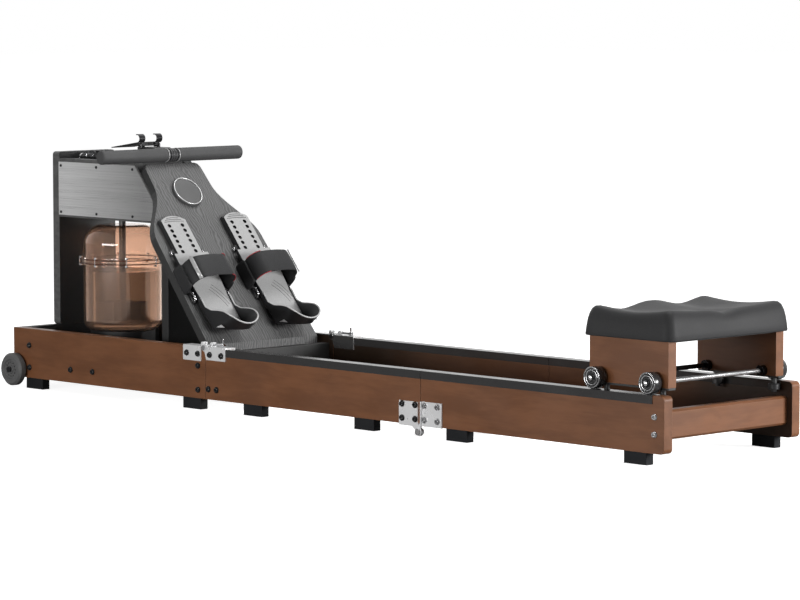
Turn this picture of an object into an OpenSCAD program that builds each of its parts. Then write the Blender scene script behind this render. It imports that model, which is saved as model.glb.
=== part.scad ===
// Folding water rower: a wooden rail frame in three hinged sections, a tower over a water tank,
// a sloped footboard with two heel rests, a pull handle on a strap and a seat that rolls on the rails.
// X is measured from the tank end to the seat end, Y across from the centre, Z up from the floor.
// The finished model is moved along X so that its origin is the middle of its footprint.
// Sizes are millimetres. Bolt places are pairs: along the frame, and up from the board's lower edge.

/* [Rail frame] */
// Length of the rail frame
frame_len = 2040; // [1900:10:2200]
// Width over the side boards
frame_w = 413; // [400:1:460]
// Height of the side boards
board_h = 115; // [108:1:130]
// Thickness of the side boards
board_t = 24; // [22:0.5:28]
// Thickness of the cross boards
cross_t = 22; // [18:1:24]
// Gap between two folding sections
fold_gap = 1.4; // [0.8:0.2:3]
// Corner radius of the boards at the seat end
end_round = 10; // [4:1:16]
// Height of the cross board at the seat end
end_board_h = 59; // [45:1:70]

/* [Feet] */
// Height of the rubber feet
foot_h = 25; // [18:1:35]
// Length of a rubber foot
foot_len = 60; // [50:1:76]
// How far a foot stands in from the board's faces
foot_inset = 2; // [1:0.5:4]

/* [Cap tracks] */
// Sheet thickness of the cap tracks
track_t = 1.5; // [1:0.1:2]
// Depth of the folded edges of a cap track
track_skirt = 17; // [12:1:22]
// Bare board before the track on the middle section
track_lead = 70; // [70:1:90]
// Bare board after the track at the seat end
track_tail = 31; // [25:1:40]

/* [Hinges and bolts] */
// Thickness of the hinge plates
hinge_t = 3; // [2:0.5:4]
// Radius of a hinge pin
hinge_pin_r = 4; // [3:0.5:5]
// Radius of a hinge knuckle
knuckle_r = 8; // [7:0.5:9]
// How far the lower hinge pin lies below the boards
lower_pin_drop = 13; // [12:0.5:15]
// Radius of a bolt's shank
bolt_r = 3; // [2.5:0.25:3.5]
// Radius of a bolt's head
bolt_head_r = 7; // [6:0.5:7.5]
// Height of a bolt's head
bolt_head_h = 4.5; // [3:0.5:6]
// Length of a frame bolt's shank
bolt_len = 16; // [12:1:18]
// Travel of the lock bolts on the upper hinges
lock_travel = 24; // [22:1:26]

/* [Transport wheels] */
// Radius of the transport wheels
wheel_r = 38; // [30:1:42]
// Width of the transport wheels
wheel_w = 22; // [16:1:26]
// Wheel axle from the tank end
wheel_x = 14; // [12:1:20]
// Height of the wheel axle
wheel_z = 43; // [43:1:50]

/* [Tower] */
// Width of the tower
tower_w = 171; // [165:1:185]
// Thickness of the front panel
panel_t = 23; // [18:1:26]
// Height of the front panel's top above the rails
panel_rise = 408; // [400:1:430]
// Height of the side boards' top above the rails
tower_rise = 393; // [385:1:396]
// Height of the tower's side boards
tower_side_h = 138; // [125:1:140]
// Thickness of the tower's side boards
tower_side_t = 22; // [18:1:24]
// Thickness of the metal side plates
plate_t = 1.5; // [1:0.25:2.5]
// Margin of the metal plates above and below
plate_margin = 8; // [5:1:12]
// Thickness of the tower's floor
tower_floor_t = 12; // [10:1:15]
// Radius of a small plate screw's head
screw_r = 3.2; // [2.5:0.1:4]

/* [Footboard] */
// Slope of the footboard from level
foot_slope = 50.8; // [50:0.1:52]
// Top edge of the footboard's face from the tank end
foot_top_x = 327; // [320:1:335]
// Distance from the tank end to the face of the upright board under the footboard
upright_x = 414; // [405:1:425]
// Height of the footboard's top edge above the rails
foot_top_rise = 388; // [380:1:392]
// Thickness of the footboard
foot_board_t = 20; // [16:1:22]
// Half width of the footboard's neck
neck_half = 86; // [80:1:95]
// How far the wide part of the footboard stands in from the side boards
body_inset = 24; // [16:0.5:30]
// Radius of the round cap
cap_r = 39; // [30:1:45]
// Height of the round cap
cap_h = 8; // [6:1:12]
// Round cap's centre down the slope
cap_s = 85; // [70:1:95]

/* [Heel rests] */
// Distance between the two heel rests' centre lines
rest_pitch = 190; // [180:2:200]
// Width of a heel rest's tongue
tongue_w = 72; // [64:1:80]
// Top of the tongue down the slope
tongue_s = 156; // [148:1:165]
// Height of the tongue's face above the footboard
tongue_top = 14; // [14:1:18]
// Thickness of the tongue
tongue_t = 4.7; // [4:0.1:6]
// Spacing of the adjuster holes
hole_pitch = 14.5; // [12:0.5:14.5]
// Rows of adjuster holes
hole_rows = 6; // [4:1:6]
// Heel's rearmost point down the slope
heel_s = 503; // [495:1:505]
// Outer radius of the heel cup
heel_r = 46; // [42:1:50]
// Wall of the heel cup
heel_wall = 4; // [3:0.5:5]
// Height of the heel cup's rim above the footboard
heel_rim = 78; // [74:1:82]
// Height of the heel cup's side wall beside the foot
heel_side = 21; // [20:1:26]
// Middle of the foot straps down the slope
strap_s = 331; // [325:1:336]
// Width of the foot straps
strap_band = 58; // [40:1:62]
// Thickness of the foot straps
strap_thick = 3.5; // [2:0.5:4]
// Half width of a foot strap's arch
strap_half = 60; // [57:1:64]
// Height of a foot strap's arch
strap_top = 67; // [62:1:74]
// Bend radius of a foot strap's corners
strap_bend = 30; // [20:1:40]

/* [Water tank] */
// Tank's axis from the tank end
tank_x = 151; // [146:1:154]
// Radius of the tank's body
tank_r = 92; // [84:1:95]
// Radius of the tank's flange rings
flange_r = 100; // [96:1:103]
// Wall of the tank
tank_wall = 4; // [3:0.5:6]
// Height of the tank's floor above the floor
tank_foot_z = 132; // [124:1:138]
// Height of the joint between tank and dome
tank_joint_z = 295; // [288:1:300]
// Height of the dome's top
dome_top_z = 379; // [370:1:386]
// Rounding of the dome's shoulder
dome_round = 44; // [30:1:50]
// Water level
water_z = 272; // [220:1:280]
// Radius of the paddle
paddle_r = 62; // [50:1:68]
// Radius of the paddle's shaft
shaft_r = 8; // [6:0.5:9]

/* [Strap and handle] */
// Width of the pull strap
pull_strap_w = 25; // [20:1:28]
// Thickness of the pull strap
pull_strap_t = 1.6; // [1:0.2:2.4]
// Radius of the strap on its drum
drum_r = 30; // [26:1:34]
// Radius of the strap rollers
idler_r = 12; // [10:1:14]
// Handle's axis from the tank end
handle_x = 326; // [324:1:334]
// Handle's axis above the rails
handle_rise = 408; // [405:1:415]
// Length of the handle
handle_len = 424; // [380:2:500]
// Radius of the handle's grips
grip_r = 16; // [13:0.5:17]
// Radius of the handle's tube
tube_r = 11; // [9:0.5:12]
// Length of the handle's centre piece
connector_len = 36; // [30:1:44]
// How far the handle pulls out
handle_travel = 1000; // [800:10:1200]

/* [Device holder] */
// Hinge of the device holder from the tank end
holder_x = 250; // [247:1:253]
// Height of the holder's hinge above the rails
holder_rise = 429; // [426:1:434]
// Length of the holder's plate
holder_len = 96; // [80:1:110]
// Width of the holder's plate
holder_w = 69; // [60:1:80]
// Slope of the holder's plate at rest
holder_slope = 8.5; // [6:0.5:10]
// Height of the holder's hooks
hook_h = 21; // [18:1:26]
// Width of a hook
hook_w = 17; // [12:1:20]

/* [Seat] */
// How far the rear axle lies before the end of the rails
axle_tail = 51; // [48:1:80]
// Distance between the roller axles
wheelbase = 148; // [130:1:160]
// Radius of the seat rollers
roller_r = 22; // [18:1:24]
// Width of the seat rollers
roller_w = 22; // [18:1:24]
// Radius of the roller axles
axle_r = 5; // [4:0.5:6]
// Radius of the roller bearings
bearing_r = 13; // [11:0.5:15]
// Length of the seat's side blocks
block_len = 211; // [190:1:215]
// Height of the seat's side blocks
block_h = 92; // [80:1:105]
// Thickness of the seat's side blocks
block_t = 23; // [18:1:25]
// How far the seat blocks stand in from the rails' outer faces
block_inset = 31.5; // [29.5:0.5:36]
// Length of the seat cushion
pad_len = 238; // [220:1:250]
// Width of the seat cushion
pad_w = 370; // [350:2:400]
// Height of the seat cushion at its corners
pad_h = 60; // [52:1:72]
// Corner radius of the seat cushion
pad_corner = 22; // [15:1:40]
// Height of the waves on the cushion's top
pad_wave = 12; // [4:1:14]
// Travel of the seat towards the footboard
seat_travel = 1000; // [800:10:1050]
// Radius of the guide rollers
guide_r = 12; // [9:0.5:14]

/* [Hidden] */
$fn = 64;
WOOD = [0.42, 0.25, 0.16];
BLACK = [0.10, 0.10, 0.11];
STEEL = [0.80, 0.81, 0.83];
eps = 0.01;
run_gap = 0.05;
seat_gap = 0.3;
end_x = -(frame_len - (wheel_r - wheel_x)) / 2;
rail_top = foot_h + board_h;
board_out = frame_w / 2;
board_in = board_out - board_t;
inner_w = 2 * board_in;
body_half = board_in - body_inset;
block_half = board_out - block_inset;
rear_axle_x = frame_len - axle_tail;
section_len = frame_len / 3;
fold_1 = section_len;
fold_2 = 2 * section_len;
track_from = fold_1 + track_lead;
track_to = frame_len - track_tail;
hinge_face = board_out + hinge_t;
lower_pin_z = foot_h - lower_pin_drop;
front_bolt_spots = [[58, 76], [58, 24], [209, 30], [288, 31], [fold_1 - 25, 73],
    [fold_1 - 25, 19]];
mid_bolt_spots = [[fold_1 + 10, 23], [fold_1 + 37, 23]];
rear_bolt_spots = [[frame_len - 25, 73], [frame_len - 25, 38]];
upper_front_spots = [[fold_1 - 59, 100], [fold_1 - 22, 100]];
upper_mid_spots = [[fold_1 + 18, 100], [fold_1 + 56, 100]];
lower_front_xs = [fold_2 - 52, fold_2 - 13];
lower_rear_xs = [fold_2 + 14, fold_2 + 53];
lower_hinge_zs = [12.5, 42.5];
tower_half = tower_w / 2;
tower_in = tower_half - tower_side_t;
tower_top = rail_top + tower_rise;
tower_low = tower_top - tower_side_h;
foot_top_z = rail_top + foot_top_rise;
foot_back_x = foot_top_x - foot_board_t * sin(foot_slope);
foot_back_z = foot_top_z - foot_board_t * cos(foot_slope);
upright_top = foot_back_z - (upright_x - foot_back_x) * tan(foot_slope) - seat_gap;
tank_board_x = 47;
fold_cross_x = fold_1 - 25;
fold_cross_front = fold_cross_x - cross_t / 2;
rest_y = rest_pitch / 2;
base_t = tongue_top - tongue_t - seat_gap;
heel_centre_s = heel_s - heel_r;
handle_z = rail_top + handle_rise;
strap_z = handle_z;
recoil_z0 = tower_low + tower_floor_t + 5;
recoil_h = 20;
drum_z0 = recoil_z0 + recoil_h + 1;
drum_h = pull_strap_w + 12;
front_idler_x = 270;
rear_idler_x = 62;
idler_z = strap_z - idler_r - seat_gap;
guide_front = handle_x - grip_r - 5;
holder_z = rail_top + holder_rise;
axle_z = rail_top + roller_r + 0.2;
block_low = axle_z - 10;
seat_mid = rear_axle_x - wheelbase / 2;
block_from = seat_mid - block_len / 2 + 1.5;
pad_low = block_low + block_h + seat_gap;
roller_y = board_out - 4 - roller_w / 2;
guide_y = board_in - track_t - guide_r - seat_gap;
guide_xs = [seat_mid - 62, seat_mid + 88];

module in_frame() translate([end_x, 0, 0]) children();

module each_side() {
    children();
    mirror([0, 1, 0]) children();
}

// Extrudes an outline drawn in X and Z across the frame, from y0 to y1
module along_y(y0, y1) translate([0, y1, 0]) rotate([90, 0, 0]) linear_extrude(y1 - y0) children();

// Extrudes an outline drawn in Y and Z along the frame, from x0 to x1
module along_x(x0, x1) translate([x0, 0, 0]) rotate([90, 0, 90]) linear_extrude(x1 - x0) children();

module box(x0, x1, y0, y1, z0, z1) translate([x0, y0, z0]) cube([x1 - x0, y1 - y0, z1 - z0]);

// A round bar or hole across the frame
module cross_bar(x, z, y0, y1, r) translate([x, y0, z]) rotate([-90, 0, 0]) cylinder(r = r, h = y1 - y0);

module round_square(w, h, r) {
    translate([r, 0]) square([w - 2 * r, h]);
    translate([0, r]) square([w, h - 2 * r]);
    for (x = [r, w - r], y = [r, h - r]) translate([x, y]) circle(r);
}

// A button-head bolt: its head stands on the plane z = 0 and its shank goes down
module button_bolt(shank) {
    difference() {
        rotate_extrude() polygon([[0, 0], [bolt_head_r, 0], [bolt_head_r, bolt_head_h * 0.35],
            [bolt_head_r * 0.72, bolt_head_h], [0, bolt_head_h]]);
        translate([0, 0, bolt_head_h * 0.4]) cylinder(r = bolt_head_r * 0.4, h = bolt_head_h, $fn = 6);
    }
    translate([0, 0, -shank]) cylinder(r = bolt_r, h = shank + eps);
}

module bolts(spots, face_y, shank) {
    for (p = spots) translate([p[0], face_y, foot_h + p[1]]) rotate([-90, 0, 0]) button_bolt(shank);
}

// Clearance holes for bolts whose heads stand on face_y
module bolt_holes(spots, face_y, shank) {
    for (p = spots) cross_bar(p[0], foot_h + p[1], face_y - shank - 1, face_y + 1, bolt_r + run_gap);
}

function grid(xs, zs) = [for (x = xs, z = zs) [x, z]];

// Rubber foot under a side board
module foot_block(x0) box(x0, x0 + foot_len, board_in + foot_inset, board_out - foot_inset, 0, foot_h);

module feet(xs) for (x = xs) foot_block(x);

module side_board(x0, x1) along_y(board_in, board_out) translate([x0, foot_h]) square([x1 - x0, board_h]);

module front_boards() color(WOOD) in_frame() each_side() difference() {
    side_board(0, fold_1 - fold_gap / 2);
    cross_bar(fold_1, rail_top, board_in - 1, board_out + 1, knuckle_r + 0.6);
    bolt_holes(front_bolt_spots, board_out, bolt_len);
    bolt_holes(upper_front_spots, hinge_face, bolt_len);
    cross_bar(wheel_x, wheel_z, board_out - bolt_len, board_out + 1, bolt_r + 1 + run_gap);
}

// The end board, the board and deck under the tank, the upright under the footboard, the board by the fold
module front_cross_boards() color(BLACK) in_frame() {
    box(0, cross_t, -board_in, board_in, foot_h, rail_top);
    box(tank_board_x, tank_board_x + cross_t, -board_in, board_in, foot_h + 8, foot_h + 92);
    box(tank_board_x + cross_t, upright_x, -board_in, board_in, foot_h + 18, foot_h + 18 + board_t);
    box(upright_x - cross_t, upright_x, -tower_half, tower_half, foot_h + 18 + board_t, upright_top);
    box(fold_cross_front, fold_cross_front + cross_t, -board_in, board_in, foot_h + 8, foot_h + 98);
}

module front_bolts() color(BLACK) in_frame() {
    each_side() {
        bolts(front_bolt_spots, board_out, bolt_len);
        bolts(upper_front_spots, hinge_face, bolt_len);
        wheel_axle();
    }
    each_side() plate_screws();
}

module wheel_axle() {
    inner = board_out - bolt_len + 1;
    outer = board_out + 2 + wheel_w;
    cross_bar(wheel_x, wheel_z, inner, outer + 1, bolt_r + 1);
    cross_bar(wheel_x, wheel_z, board_out, board_out + 1.7, bolt_head_r);
    cross_bar(wheel_x, wheel_z, outer + seat_gap, outer + bolt_head_h, bolt_head_r);
}

function front_foot_xs() = [43.5, fold_1 - 78];
function mid_foot_xs() = [fold_1 + 124, fold_1 + 476.5];
function rear_foot_xs() = [fold_2 + 74, frame_len - 108];

module front_feet() color(BLACK) in_frame() each_side() feet(front_foot_xs());

// Spoked wheel: a rubber tyre round a hub with slots, on one side of the frame
module transport_wheel() {
    translate([wheel_x, board_out + 2, wheel_z]) rotate([-90, 0, 0]) difference() {
        rotate_extrude() polygon([[bolt_r + 1 + run_gap, 0], [wheel_r - 5, 0], [wheel_r, 5],
            [wheel_r, wheel_w - 5], [wheel_r - 5, wheel_w], [wheel_r * 0.62, wheel_w],
            [wheel_r * 0.56, wheel_w - 3], [wheel_r * 0.3, wheel_w - 3], [wheel_r * 0.25, wheel_w],
            [bolt_r + 1 + run_gap, wheel_w]]);
        for (i = [0:11]) rotate(i * 30) translate([wheel_r * 0.43, 0, -1])
            cylinder(r = wheel_r * 0.055, h = wheel_w + 2);
    }
}

module transport_wheel_near() color("dimgray") in_frame() mirror([0, 1, 0]) transport_wheel();

module transport_wheel_far() color("dimgray") in_frame() transport_wheel();

// Upper hinge, front half: an angle plate on the board and the lug that takes the lock bolt
module front_hinge_plates() color(STEEL) in_frame() each_side() difference() {
    union() {
        x0 = fold_1 - 72;
        x1 = fold_1 - 12;
        box(x0, x1, board_out, hinge_face, rail_top - 31, rail_top + hinge_t);
        box(x0, x1, board_in, board_out + eps, rail_top, rail_top + hinge_t);
        box(fold_1 - 21, fold_1 - 13, board_in + 6, board_out - 6, rail_top + hinge_t - eps, rail_top + 11);
        cross_bar(fold_1, rail_top, board_in + 6, board_out - 6, knuckle_r - 2);
        box(x1 - eps, fold_1, board_in + 6, board_out - 6, rail_top, rail_top + hinge_t);
    }
    cross_bar(fold_1, rail_top, 0, frame_w, hinge_pin_r + run_gap);
    bolt_holes(upper_front_spots, hinge_face, bolt_len);
    translate([fold_1 - 30, board_in + board_t / 2, lock_z()]) rotate([0, 90, 0])
        cylinder(r = 3 + run_gap * 2, h = 38);
}

function lock_z() = rail_top + hinge_t + 4;

module hinge_ear(x, z, y0, y1, r) cross_bar(x, z, y0, y1, r);

// Upper hinge, middle half, with the sleeve of the lock bolt, and the lower hinge's front half
module mid_hinge_plates() color(STEEL) in_frame() each_side() {
    upper_mid_plate();
    lower_mid_plate();
}

module upper_mid_plate() {
    x1 = fold_1 + 69;
    difference() {
        union() {
            for (y = [board_out, board_in - hinge_t]) {
                hinge_ear(fold_1, rail_top, y, y + hinge_t, knuckle_r + 1);
                along_y(y, y + hinge_t) polygon([[fold_1, rail_top - 9], [fold_1 + 6, rail_top - 27],
                    [x1, rail_top - 27], [x1, rail_top + hinge_t], [fold_1, rail_top + hinge_t]]);
            }
            box(fold_1 + 10, x1, board_in - eps, board_out + eps, rail_top, rail_top + hinge_t);
            box(fold_1 + 10, fold_1 + 17, board_in + 7, board_out - 7, rail_top + hinge_t - eps, rail_top + 12);
        }
        cross_bar(fold_1, rail_top, 0, frame_w, hinge_pin_r + run_gap);
        bolt_holes(upper_mid_spots, hinge_face, bolt_len);
        translate([fold_1 + 9, board_in + board_t / 2, lock_z()]) rotate([0, 90, 0])
            cylinder(r = 3 + run_gap * 2, h = 9);
    }
}

module lower_mid_plate() difference() {
    union() {
        box(fold_2 - 62, fold_2 - 6, board_out, hinge_face, foot_h - 3, foot_h + 49);
        along_y(board_out, hinge_face) polygon([[fold_2 - 24, foot_h + 6], [fold_2 - 24, foot_h - 2],
            [fold_2 - 5, lower_pin_z - 5], [fold_2 + 3, lower_pin_z + 5], [fold_2 - 6, foot_h + 6]]);
        hinge_ear(fold_2, lower_pin_z, board_out, hinge_face, knuckle_r + 1);
    }
    cross_bar(fold_2, lower_pin_z, 0, frame_w, hinge_pin_r + run_gap);
    bolt_holes(grid(lower_front_xs, lower_hinge_zs), hinge_face, bolt_len);
}

// Lower hinge, seat half: its slanted tab lies outside the other plate's ear
module rear_hinge_plates() color(STEEL) in_frame() each_side() {
    tab_y = hinge_face + 0.2;
    difference() {
        union() {
            box(fold_2 + 4, fold_2 + 65, board_out, hinge_face, foot_h - 1, foot_h + 51);
            box(fold_2 + 4, fold_2 + 6.7, board_out + eps, tab_y + hinge_t, foot_h - 1, foot_h + 51);
            along_y(tab_y, tab_y + hinge_t) polygon([[fold_2 - 5, lower_pin_z + 7],
                [fold_2 + 4, foot_h + 6], [fold_2 + 6.7, foot_h + 6], [fold_2 + 6.7, foot_h - 1],
                [fold_2 + 7, lower_pin_z - 4]]);
            hinge_ear(fold_2, lower_pin_z, tab_y, tab_y + hinge_t, knuckle_r + 1);
        }
        cross_bar(fold_2, lower_pin_z, 0, frame_w, hinge_pin_r + run_gap);
        bolt_holes(grid(lower_rear_xs, lower_hinge_zs), hinge_face, bolt_len);
    }
}

// Pins of all four hinges, with round heads at both ends
module hinge_pins() color(STEEL) in_frame() each_side() {
    upper_in = board_in - hinge_t;
    lower_out = hinge_face + 0.2 + hinge_t;
    cross_bar(fold_1, rail_top, upper_in - 2, hinge_face + 2, hinge_pin_r);
    cross_bar(fold_1, rail_top, upper_in - 4, upper_in - seat_gap, hinge_pin_r + 2);
    cross_bar(fold_1, rail_top, hinge_face + seat_gap, hinge_face + 4, hinge_pin_r + 2);
    cross_bar(fold_2, lower_pin_z, board_out - 3, lower_out + 1, hinge_pin_r);
    cross_bar(fold_2, lower_pin_z, board_out - 5, board_out - seat_gap, hinge_pin_r + 2);
    cross_bar(fold_2, lower_pin_z, lower_out + seat_gap, lower_out + 4.5, hinge_pin_r + 3);
}

// Sliding lock bolt on the upper hinge, drawn withdrawn
module lock_bolt() translate([fold_1 + 5, board_in + board_t / 2, lock_z()]) rotate([0, 90, 0]) {
    head = 12 + lock_travel + seat_gap;
    cylinder(r = 3, h = head + 8);
    translate([0, 0, head]) cylinder(r = 4, h = 9);
    translate([0, 0, head + 4]) rotate([0, -90, 0]) cylinder(r = 2, h = 14);
}

module lock_bolt_near() color(STEEL) in_frame() mirror([0, 1, 0]) lock_bolt();

module lock_bolt_far() color(STEEL) in_frame() lock_bolt();

module mid_boards() color(WOOD) in_frame() each_side() difference() {
    side_board(fold_1 + fold_gap / 2, fold_2 - fold_gap / 2);
    track_rebate(track_from, fold_2);
    cross_bar(fold_1, rail_top, board_in - 1, board_out + 1, knuckle_r + 0.6);
    bolt_holes(mid_bolt_spots, board_out, bolt_len);
    bolt_holes(upper_mid_spots, hinge_face, bolt_len);
    bolt_holes(grid(lower_front_xs, lower_hinge_zs), hinge_face, bolt_len);
}

// The board's top is lower by one sheet thickness where a cap track lies on it
module track_rebate(x0, x1) box(x0, x1 + 1, board_in - 1, board_out + 1, rail_top - track_t, rail_top + 1);

// Flat boards that tie the middle section's sides together
module mid_cross_boards() color(WOOD) in_frame() {
    box(fold_1 + 2, fold_1 + 46, -board_in, board_in, foot_h + 12, foot_h + 12 + cross_t);
    box(fold_2 - 62, fold_2 - 6, -board_in, board_in, foot_h + 16, foot_h + 16 + cross_t);
}

// Folded sheet cap over a side board's top edge
module cap_track(x0, x1) difference() {
    box(x0, x1, board_in - track_t, board_out + track_t, rail_top - track_skirt, rail_top);
    box(x0 - 1, x1 + 1, board_in, board_out, 0, rail_top - track_t);
}

module mid_tracks() color("dimgray") in_frame() each_side() cap_track(track_from, fold_2 - fold_gap / 2);

module mid_feet() color(BLACK) in_frame() each_side() feet(mid_foot_xs());

module mid_bolts() color(BLACK) in_frame() each_side() {
    bolts(mid_bolt_spots, board_out, bolt_len);
    bolts(upper_mid_spots, hinge_face, bolt_len);
    bolts(grid(lower_front_xs, lower_hinge_zs), hinge_face, bolt_len);
}

module rear_boards() color(WOOD) in_frame() each_side() difference() {
    union() {
        side_board(fold_2 + fold_gap / 2, frame_len - 2 * end_round);
        along_y(board_in, board_out) translate([frame_len - 60, foot_h]) round_square(60, board_h, end_round);
    }
    track_rebate(fold_2, track_to - 1);
    bolt_holes(rear_bolt_spots, board_out, bolt_len);
    bolt_holes(grid(lower_rear_xs, lower_hinge_zs), hinge_face, bolt_len);
}

// Flat board near the fold and the bevelled upright board at the seat end
module rear_cross_boards() color(WOOD) in_frame() {
    box(fold_2 + 5, fold_2 + 65, -board_in, board_in, foot_h + 16, foot_h + 16 + cross_t);
    bevel = 5;
    low = foot_h + 26;
    along_y(-board_in, board_in) polygon([[2004, low], [2026 - bevel, low], [2026, low + bevel],
        [2026, low + end_board_h - bevel], [2026 - bevel, low + end_board_h], [2004, low + end_board_h]]);
}

module rear_tracks() color("dimgray") in_frame() each_side() cap_track(fold_2 + fold_gap / 2, track_to);

module rear_feet() color(BLACK) in_frame() each_side() feet(rear_foot_xs());

module rear_bolts() color(STEEL) in_frame() each_side() {
    bolts(rear_bolt_spots, board_out, bolt_len);
    bolts(grid(lower_rear_xs, lower_hinge_zs), hinge_face, bolt_len);
}

// Tall front panel of the tower, standing on the end board
module tower_front_panel() color(BLACK) in_frame() along_x(0, panel_t)
    translate([-tower_half, rail_top]) round_square(tower_w, panel_rise, 8);

module tower_side_outline(top, low, back) {
    back_top = foot_back_x + (foot_back_z - top) / tan(foot_slope) - back;
    back_low = foot_back_x + (foot_back_z - low) / tan(foot_slope) - back;
    polygon([[panel_t, low], [back_low, low], [back_top, top], [panel_t, top]]);
}

module tower_sides() color(BLACK) in_frame() each_side() difference() {
    along_y(tower_in, tower_half) tower_side_outline(tower_top, tower_low, 0);
    plate_screw_holes();
}

function plate_screw_spots() = grid([32, 162, 292], [tower_low + plate_margin + 4, tower_top - plate_margin - 9]);

module plate_screw_holes() for (p = plate_screw_spots())
    cross_bar(p[0], p[1], tower_half - 11, tower_half + plate_t + 1, 1.5 + run_gap);

module plate_screws() for (p = plate_screw_spots()) {
    cross_bar(p[0], p[1], tower_half - 10, tower_half + plate_t + eps, 1.5);
    cross_bar(p[0], p[1], tower_half + plate_t, tower_half + plate_t + 1.6, screw_r);
}

module side_plates() color(STEEL) in_frame() each_side() difference() {
    along_y(tower_half, tower_half + plate_t)
        tower_side_outline(tower_top - plate_margin, tower_low + plate_margin - 3, 4);
    plate_screw_holes();
}

// Floor of the tower's head over the tank, and the bar that carries the strap guide
module tower_shelves() color(BLACK) in_frame() {
    floor_to = foot_back_x + (foot_back_z - tower_low - tower_floor_t) / tan(foot_slope) - 1;
    difference() {
        box(panel_t, floor_to, -tower_in, tower_in, tower_low, tower_low + tower_floor_t);
        translate([tank_x, 0, tower_low - 1]) cylinder(r = shaft_r + 8 + run_gap, h = tower_floor_t + 2);
    }
    difference() {
        box(232, 296, -tower_in, tower_in, tower_top - 22, tower_top);
        pocket = idler_r + 5;
        box(front_idler_x - pocket, front_idler_x + pocket, -21.3, 21.3, tower_top - 23, tower_top + 1);
    }
}

module on_footboard() translate([foot_top_x, 0, foot_top_z]) rotate([0, foot_slope, 0]) children();

// Half width of the footboard at a distance down its slope: a neck, a smooth flare, a slow taper
function foot_half(s) = s < 62 ? neck_half - 4 + s / 15
    : s < 215 ? neck_half + (body_half - neck_half) * (1 - cos(180 * (s - 62) / 153)) / 2
    : body_half + 8 * (s - 215) / 330;

module footboard() color(BLACK) in_frame() difference() {
    corner = 12;
    rows = [for (s = [corner:(62 - corner) / 4:62]) s];
    flare = [for (s = [74:14.1:215]) s];
    half = concat([[0, neck_half - 4 - corner], [corner * 0.3, neck_half - 4 - corner * 0.3]],
        [for (s = concat(rows, flare, [545])) [s, foot_half(s)]]);
    on_footboard() translate([0, 0, -foot_board_t]) linear_extrude(foot_board_t)
        polygon(concat(half, [for (i = [len(half) - 1:-1:0]) [half[i][0], -half[i][1]]]));
    box(fold_cross_front - seat_gap, frame_len, -frame_w, frame_w, 0, frame_len);
}

// Blank round cap on the footboard
module round_cap() color(STEEL) in_frame() on_footboard() translate([cap_s, 0, 0]) rotate_extrude()
    polygon([[0, 0], [cap_r, 0], [cap_r, cap_h - 2], [cap_r - 1.5, cap_h], [cap_r - 3.5, cap_h],
        [cap_r - 5, cap_h - 1.5], [0, cap_h - 1.5]]);

// Black base of a heel rest with its keyway and the two wings that hold the strap
module footrest_base() difference() {
    union() {
        translate([tongue_s + 6, -tongue_w / 2, 0]) cube([264, tongue_w, base_t]);
        translate([strap_s - strap_band / 2 - 3, -strap_half - 4, 0]) cube([strap_band + 6, 2 * strap_half + 8, 8]);
        for (y = [-1, 1]) translate([250, y * (tongue_w / 2 + 4), 0]) cylinder(r = 6, h = base_t - 0.3);
    }
    translate([tongue_s, -10 - 0.2, base_t - 8]) cube([300, 20 + 0.4, 10]);
    for (y = [-1, 1]) translate([strap_s - strap_band / 2 - 0.2, y * (strap_half - strap_thick / 2) - strap_thick / 2 - 0.2, 3])
        cube([strap_band + 0.4, strap_thick + 0.4, 10]);
}

module footrest_bases() color(BLACK) in_frame() on_footboard()
    each_side() translate([0, rest_y, 0]) footrest_base();

// A foot strap: a flat-topped arch over the foot whose ends stand in the base's slots
module foot_strap() {
    low = 3.2;
    translate([strap_s - strap_band / 2, 0, 0]) rotate([90, 0, 90]) linear_extrude(strap_band) difference() {
        strap_arch(strap_half, strap_top, strap_bend);
        strap_arch(strap_half - strap_thick, strap_top - strap_thick, strap_bend - strap_thick);
        translate([-100, -100]) square([200, 100 + low]);
    }
}

module strap_arch(half, top, bend) translate([-half, -50]) round_square(2 * half, top + 50, bend);

module foot_straps() color("black") in_frame() on_footboard()
    each_side() translate([0, rest_y, 0]) foot_strap();

// A sliding heel rest: the perforated tongue, the foot pad and the heel cup
module heel_rest() {
    low = tongue_top - tongue_t;
    sole = tongue_top + 3;
    first_hole = tongue_s + 27;
    difference() {
        union() {
            intersection() {
                translate([tongue_s, -tongue_w / 2, low]) cube([150, tongue_w, tongue_t]);
                translate([tongue_s + 60, 0, low]) cylinder(r = 60, h = tongue_t);
            }
            translate([tongue_s + 50, -tongue_w / 2, low]) cube([160, tongue_w, tongue_t]);
            translate([tongue_s + 10, -10, base_t - 7]) cube([240, 20, low - base_t + 8]);
            foot_pad(low, sole);
            heel_cup(low, sole);
        }
        for (i = [0:hole_rows - 1], y = [-1, 1]) translate([first_hole + i * hole_pitch, y * 19.5, base_t - 8])
            cylinder(r = 5, h = tongue_t + 20);
    }
}

// Wide pad under the ball of the foot, drawn in towards the heel
module foot_pad(low, sole) translate([0, 0, low]) linear_extrude(sole - low)
    polygon([[262, -50], [290, -50], [380, -heel_r + 4], [380, heel_r - 4], [290, 50], [262, 50]]);

// Cup round the heel: its side walls rise towards the back and its underside is level
module heel_cup(low, sole) difference() {
    drop = heel_s - 35;
    intersection() {
        heel_outline(heel_r, low, heel_rim - low);
        along_y(-heel_r, heel_r) polygon([[380, low], [drop, low + 4], [heel_s + 1, low + 48], [heel_s + 1, heel_rim],
            [482, heel_rim - 1.5], [459, heel_rim - 12], [448, heel_rim - 23], [431, heel_side + 12],
            [413, heel_side], [380, heel_side]]);
    }
    intersection() {
        heel_outline(heel_r - heel_wall, sole, 100);
        along_y(-heel_r, heel_r) polygon([[300, sole], [drop - 1, sole], [heel_s + 1, low + 58], [heel_s + 1, 200], [300, 200]]);
    }
}

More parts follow.
